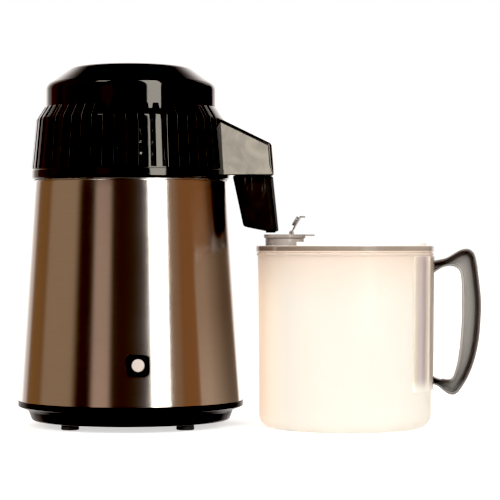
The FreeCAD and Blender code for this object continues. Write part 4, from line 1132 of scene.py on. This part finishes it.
def jug_reflection_card():
    """Curved card round the back of the jug, seen only in reflections from outside: it glows with a painted reflection
    of the jug, dimmer and warmer than a true one, since the photograph's steel shows a dimmer jug than a true
    reflection would.
    """
    me = bpy.data.meshes.new("jug_reflection_card")
    r, rows, verts, faces = 90.4 * MM, (0.004, 0.090, 0.1800), [], []
    steps = 36
    for z in rows:
        for k in range(steps + 1):
            a = math.radians(-178.0 + 152.0 * k / steps)
            verts.append((JX * MM + r * math.sin(a), JY * MM - r * math.cos(a), z))
    for j in range(len(rows) - 1):
        for k in range(steps):
            n = j * (steps + 1) + k
            faces.append((n, n + 1, n + steps + 2, n + steps + 1))
    me.from_pydata(verts, [], faces)
    ob = bpy.data.objects.new("jug_reflection_card", me)
    scene.collection.objects.link(ob)
    t = Tree(bpy.data.materials.new("jug_reflection_card"))
    out = t.n("ShaderNodeOutputMaterial")
    glow = t.n("ShaderNodeEmission")
    clear = t.n("ShaderNodeBsdfTransparent")
    both = t.n("ShaderNodeMixShader")
    x, y, z = t.split(t.n("ShaderNodeTexCoord").outputs["Object"])
    turned = t.math("MULTIPLY", t.math("ARCTAN2", t.math("SUBTRACT", x, JX * MM), t.math("SUBTRACT", JY * MM, y)), 180.0 / math.pi)
    low = t.rng(z, 0.12, 0.02)
    level = t.math("ADD", t.rng(turned, -92, -52, 0.165, 0.45, "SMOOTHSTEP"), t.rng(turned, -98, -122, 0.0, 0.22, "SMOOTHSTEP"))
    level = t.math("MULTIPLY", level, t.math("ADD", 1.0, t.math("MULTIPLY", low, 0.35)))
    t.put(glow.inputs["Color"], t.vec("SCALE", t.mix(low, (1.0, 0.69, 0.50), (1.0, 0.74, 0.56)), scale=level))
    t.nt.links.new(t.n("ShaderNodeNewGeometry").outputs["Backfacing"], both.inputs[0])
    t.nt.links.new(glow.outputs[0], both.inputs[1])
    t.nt.links.new(clear.outputs[0], both.inputs[2])
    t.nt.links.new(both.outputs[0], out.inputs["Surface"])
    me.materials.append(t.owner)
    ob.visible_camera = ob.visible_diffuse = ob.visible_transmission = ob.visible_shadow = ob.visible_volume_scatter = False
    return ob


jug_reflection_card()

world = bpy.data.worlds.new("studio")
scene.world = world
w = Tree(world)
out = w.n("ShaderNodeOutputWorld")
back = w.n("ShaderNodeBackground")
w.nt.links.new(back.outputs[0], out.inputs["Surface"])
direction = w.n("ShaderNodeTexCoord").outputs["Generated"]
dx, dy, dz = w.split(direction)
rho = w.math("MULTIPLY", w.math("ARCTAN2", dx, w.math("MULTIPLY", dy, -1.0)), 180.0 / math.pi)
rho_abs = w.math("ABSOLUTE", rho)
elev = w.math("MULTIPLY", w.math("ARCSINE", dz), 180.0 / math.pi)


def panel(total, azimuth, soft, height, tint, level, around=None):
    """Adds a soft-edged panel of light to the studio, between two azimuths and two heights, in degrees."""
    src = rho if around is None else around
    side = w.math("MULTIPLY", w.rng(src, azimuth[0] - soft, azimuth[0] + soft, 0, 1, "SMOOTHSTEP"), w.rng(src, azimuth[1] - soft, azimuth[1] + soft, 1, 0, "SMOOTHSTEP"))
    tall = w.math("MULTIPLY", w.rng(elev, height[0] - height[2], height[0] + height[2], 0, 1, "SMOOTHSTEP"), w.rng(elev, height[1] - height[2], height[1] + height[2], 1, 0, "SMOOTHSTEP"))
    amount = w.math("MULTIPLY", w.math("MULTIPLY", side, tall), level)
    return w.vec("ADD", total, w.vec("SCALE", w.join(*tint), scale=amount))


total = w.join(0.042, 0.029, 0.026)
for side, near, far in ((w.math("MULTIPLY", rho, -1.0), 132, 146), (rho, 146, 152)):           # white backdrop
    total = panel(total, (near, 200), 4, (-35, 38, 8), (1.0, 0.90, 0.86), 0.72, side)
    total = panel(total, (far, 200), 8, (-35, 30, 8), (1.0, 0.96, 0.94), 1.2, side)
total = panel(total, (134, 148), 4, (18, 38, 6), (1.0, 0.92, 0.88), 0.9)                     # its top right corner
total = panel(total, (-132, -104), 6, (-60, 60, 15), (1.0, 0.50, 0.20), 0.24)                # amber reflector
total = panel(total, (-103, -59), 5, (-60, 60, 15), (1.0, 0.69, 0.46), 0.36)                 # grey card, left
total = panel(total, (-38, -19), 3, (-40, 14, 6), (1.0, 0.70, 0.55), 0.54)                   # panel under the left softbox
total = panel(total, (-20, 16), 6, (-60, 60, 15), (1.0, 0.75, 0.60), 0.014)                  # darkness round the camera
total = panel(total, (44, 58), 5, (-60, 60, 15), (1.0, 0.60, 0.34), 0.26)                    # beside the strip
total = panel(total, (58, 100), 7, (-60, 60, 15), (1.0, 0.44, 0.18), 0.27)                   # brown wall, right
total = panel(total, (100, 134), 8, (-60, 60, 15), (1.0, 0.40, 0.20), 0.08)
path = w.n("ShaderNodeLightPath")
spread = w.math("MAXIMUM", path.outputs["Is Diffuse Ray"], path.outputs["Is Transmission Ray"])
fill = w.math("SUBTRACT", 1.36, w.math("MULTIPLY", w.rng(rho, 30, 70, 0.0, 0.45, "SMOOTHSTEP"), w.rng(rho, 110, 140, 1.0, 0.0, "SMOOTHSTEP")))
fill = w.math("ADD", fill, w.math("MULTIPLY", w.math("MULTIPLY", w.rng(rho, -76, -52, 0.0, 1.0, "SMOOTHSTEP"), w.rng(rho, -12, 12, 1.0, 0.0, "SMOOTHSTEP")), 2.0))
warm = w.math("MULTIPLY", w.rng(rho, -160, -120, 0.0, 1.0, "SMOOTHSTEP"), w.rng(rho, -78, -48, 1.0, 0.0, "SMOOTHSTEP"))
fill = w.vec("ADD", w.vec("SCALE", w.join(1.0, 0.98, 0.955), scale=fill), w.vec("SCALE", w.join(1.0, 0.42, 0.10), scale=w.math("MULTIPLY", warm, 0.75)))
seen = w.mix(spread, total, fill)
seen = w.mix(path.outputs["Is Camera Ray"], seen, (1.0, 1.0, 1.0))
w.put(back.inputs["Color"], seen)

cam_data = bpy.data.cameras.new("camera")
cam_data.lens = 149.7
cam_data.sensor_width = 36.0
cam_data.shift_y = -0.008
cam_data.clip_end = 60.0
cam = bpy.data.objects.new("camera", cam_data)
cam.location = (0.0016, -2.100, 0.1806)
cam.rotation_euler = (math.radians(90), 0, 0)
scene.collection.objects.link(cam)
scene.camera = cam

scene.view_settings.view_transform = "Standard"
scene.view_settings.look = "None"
scene.view_settings.exposure = 0.0
scene.view_settings.gamma = 1.0
scene.view_settings.use_curve_mapping = True
curve = scene.view_settings.curve_mapping
curve.black_level = (0.022, 0.022, 0.022)
curve.update()
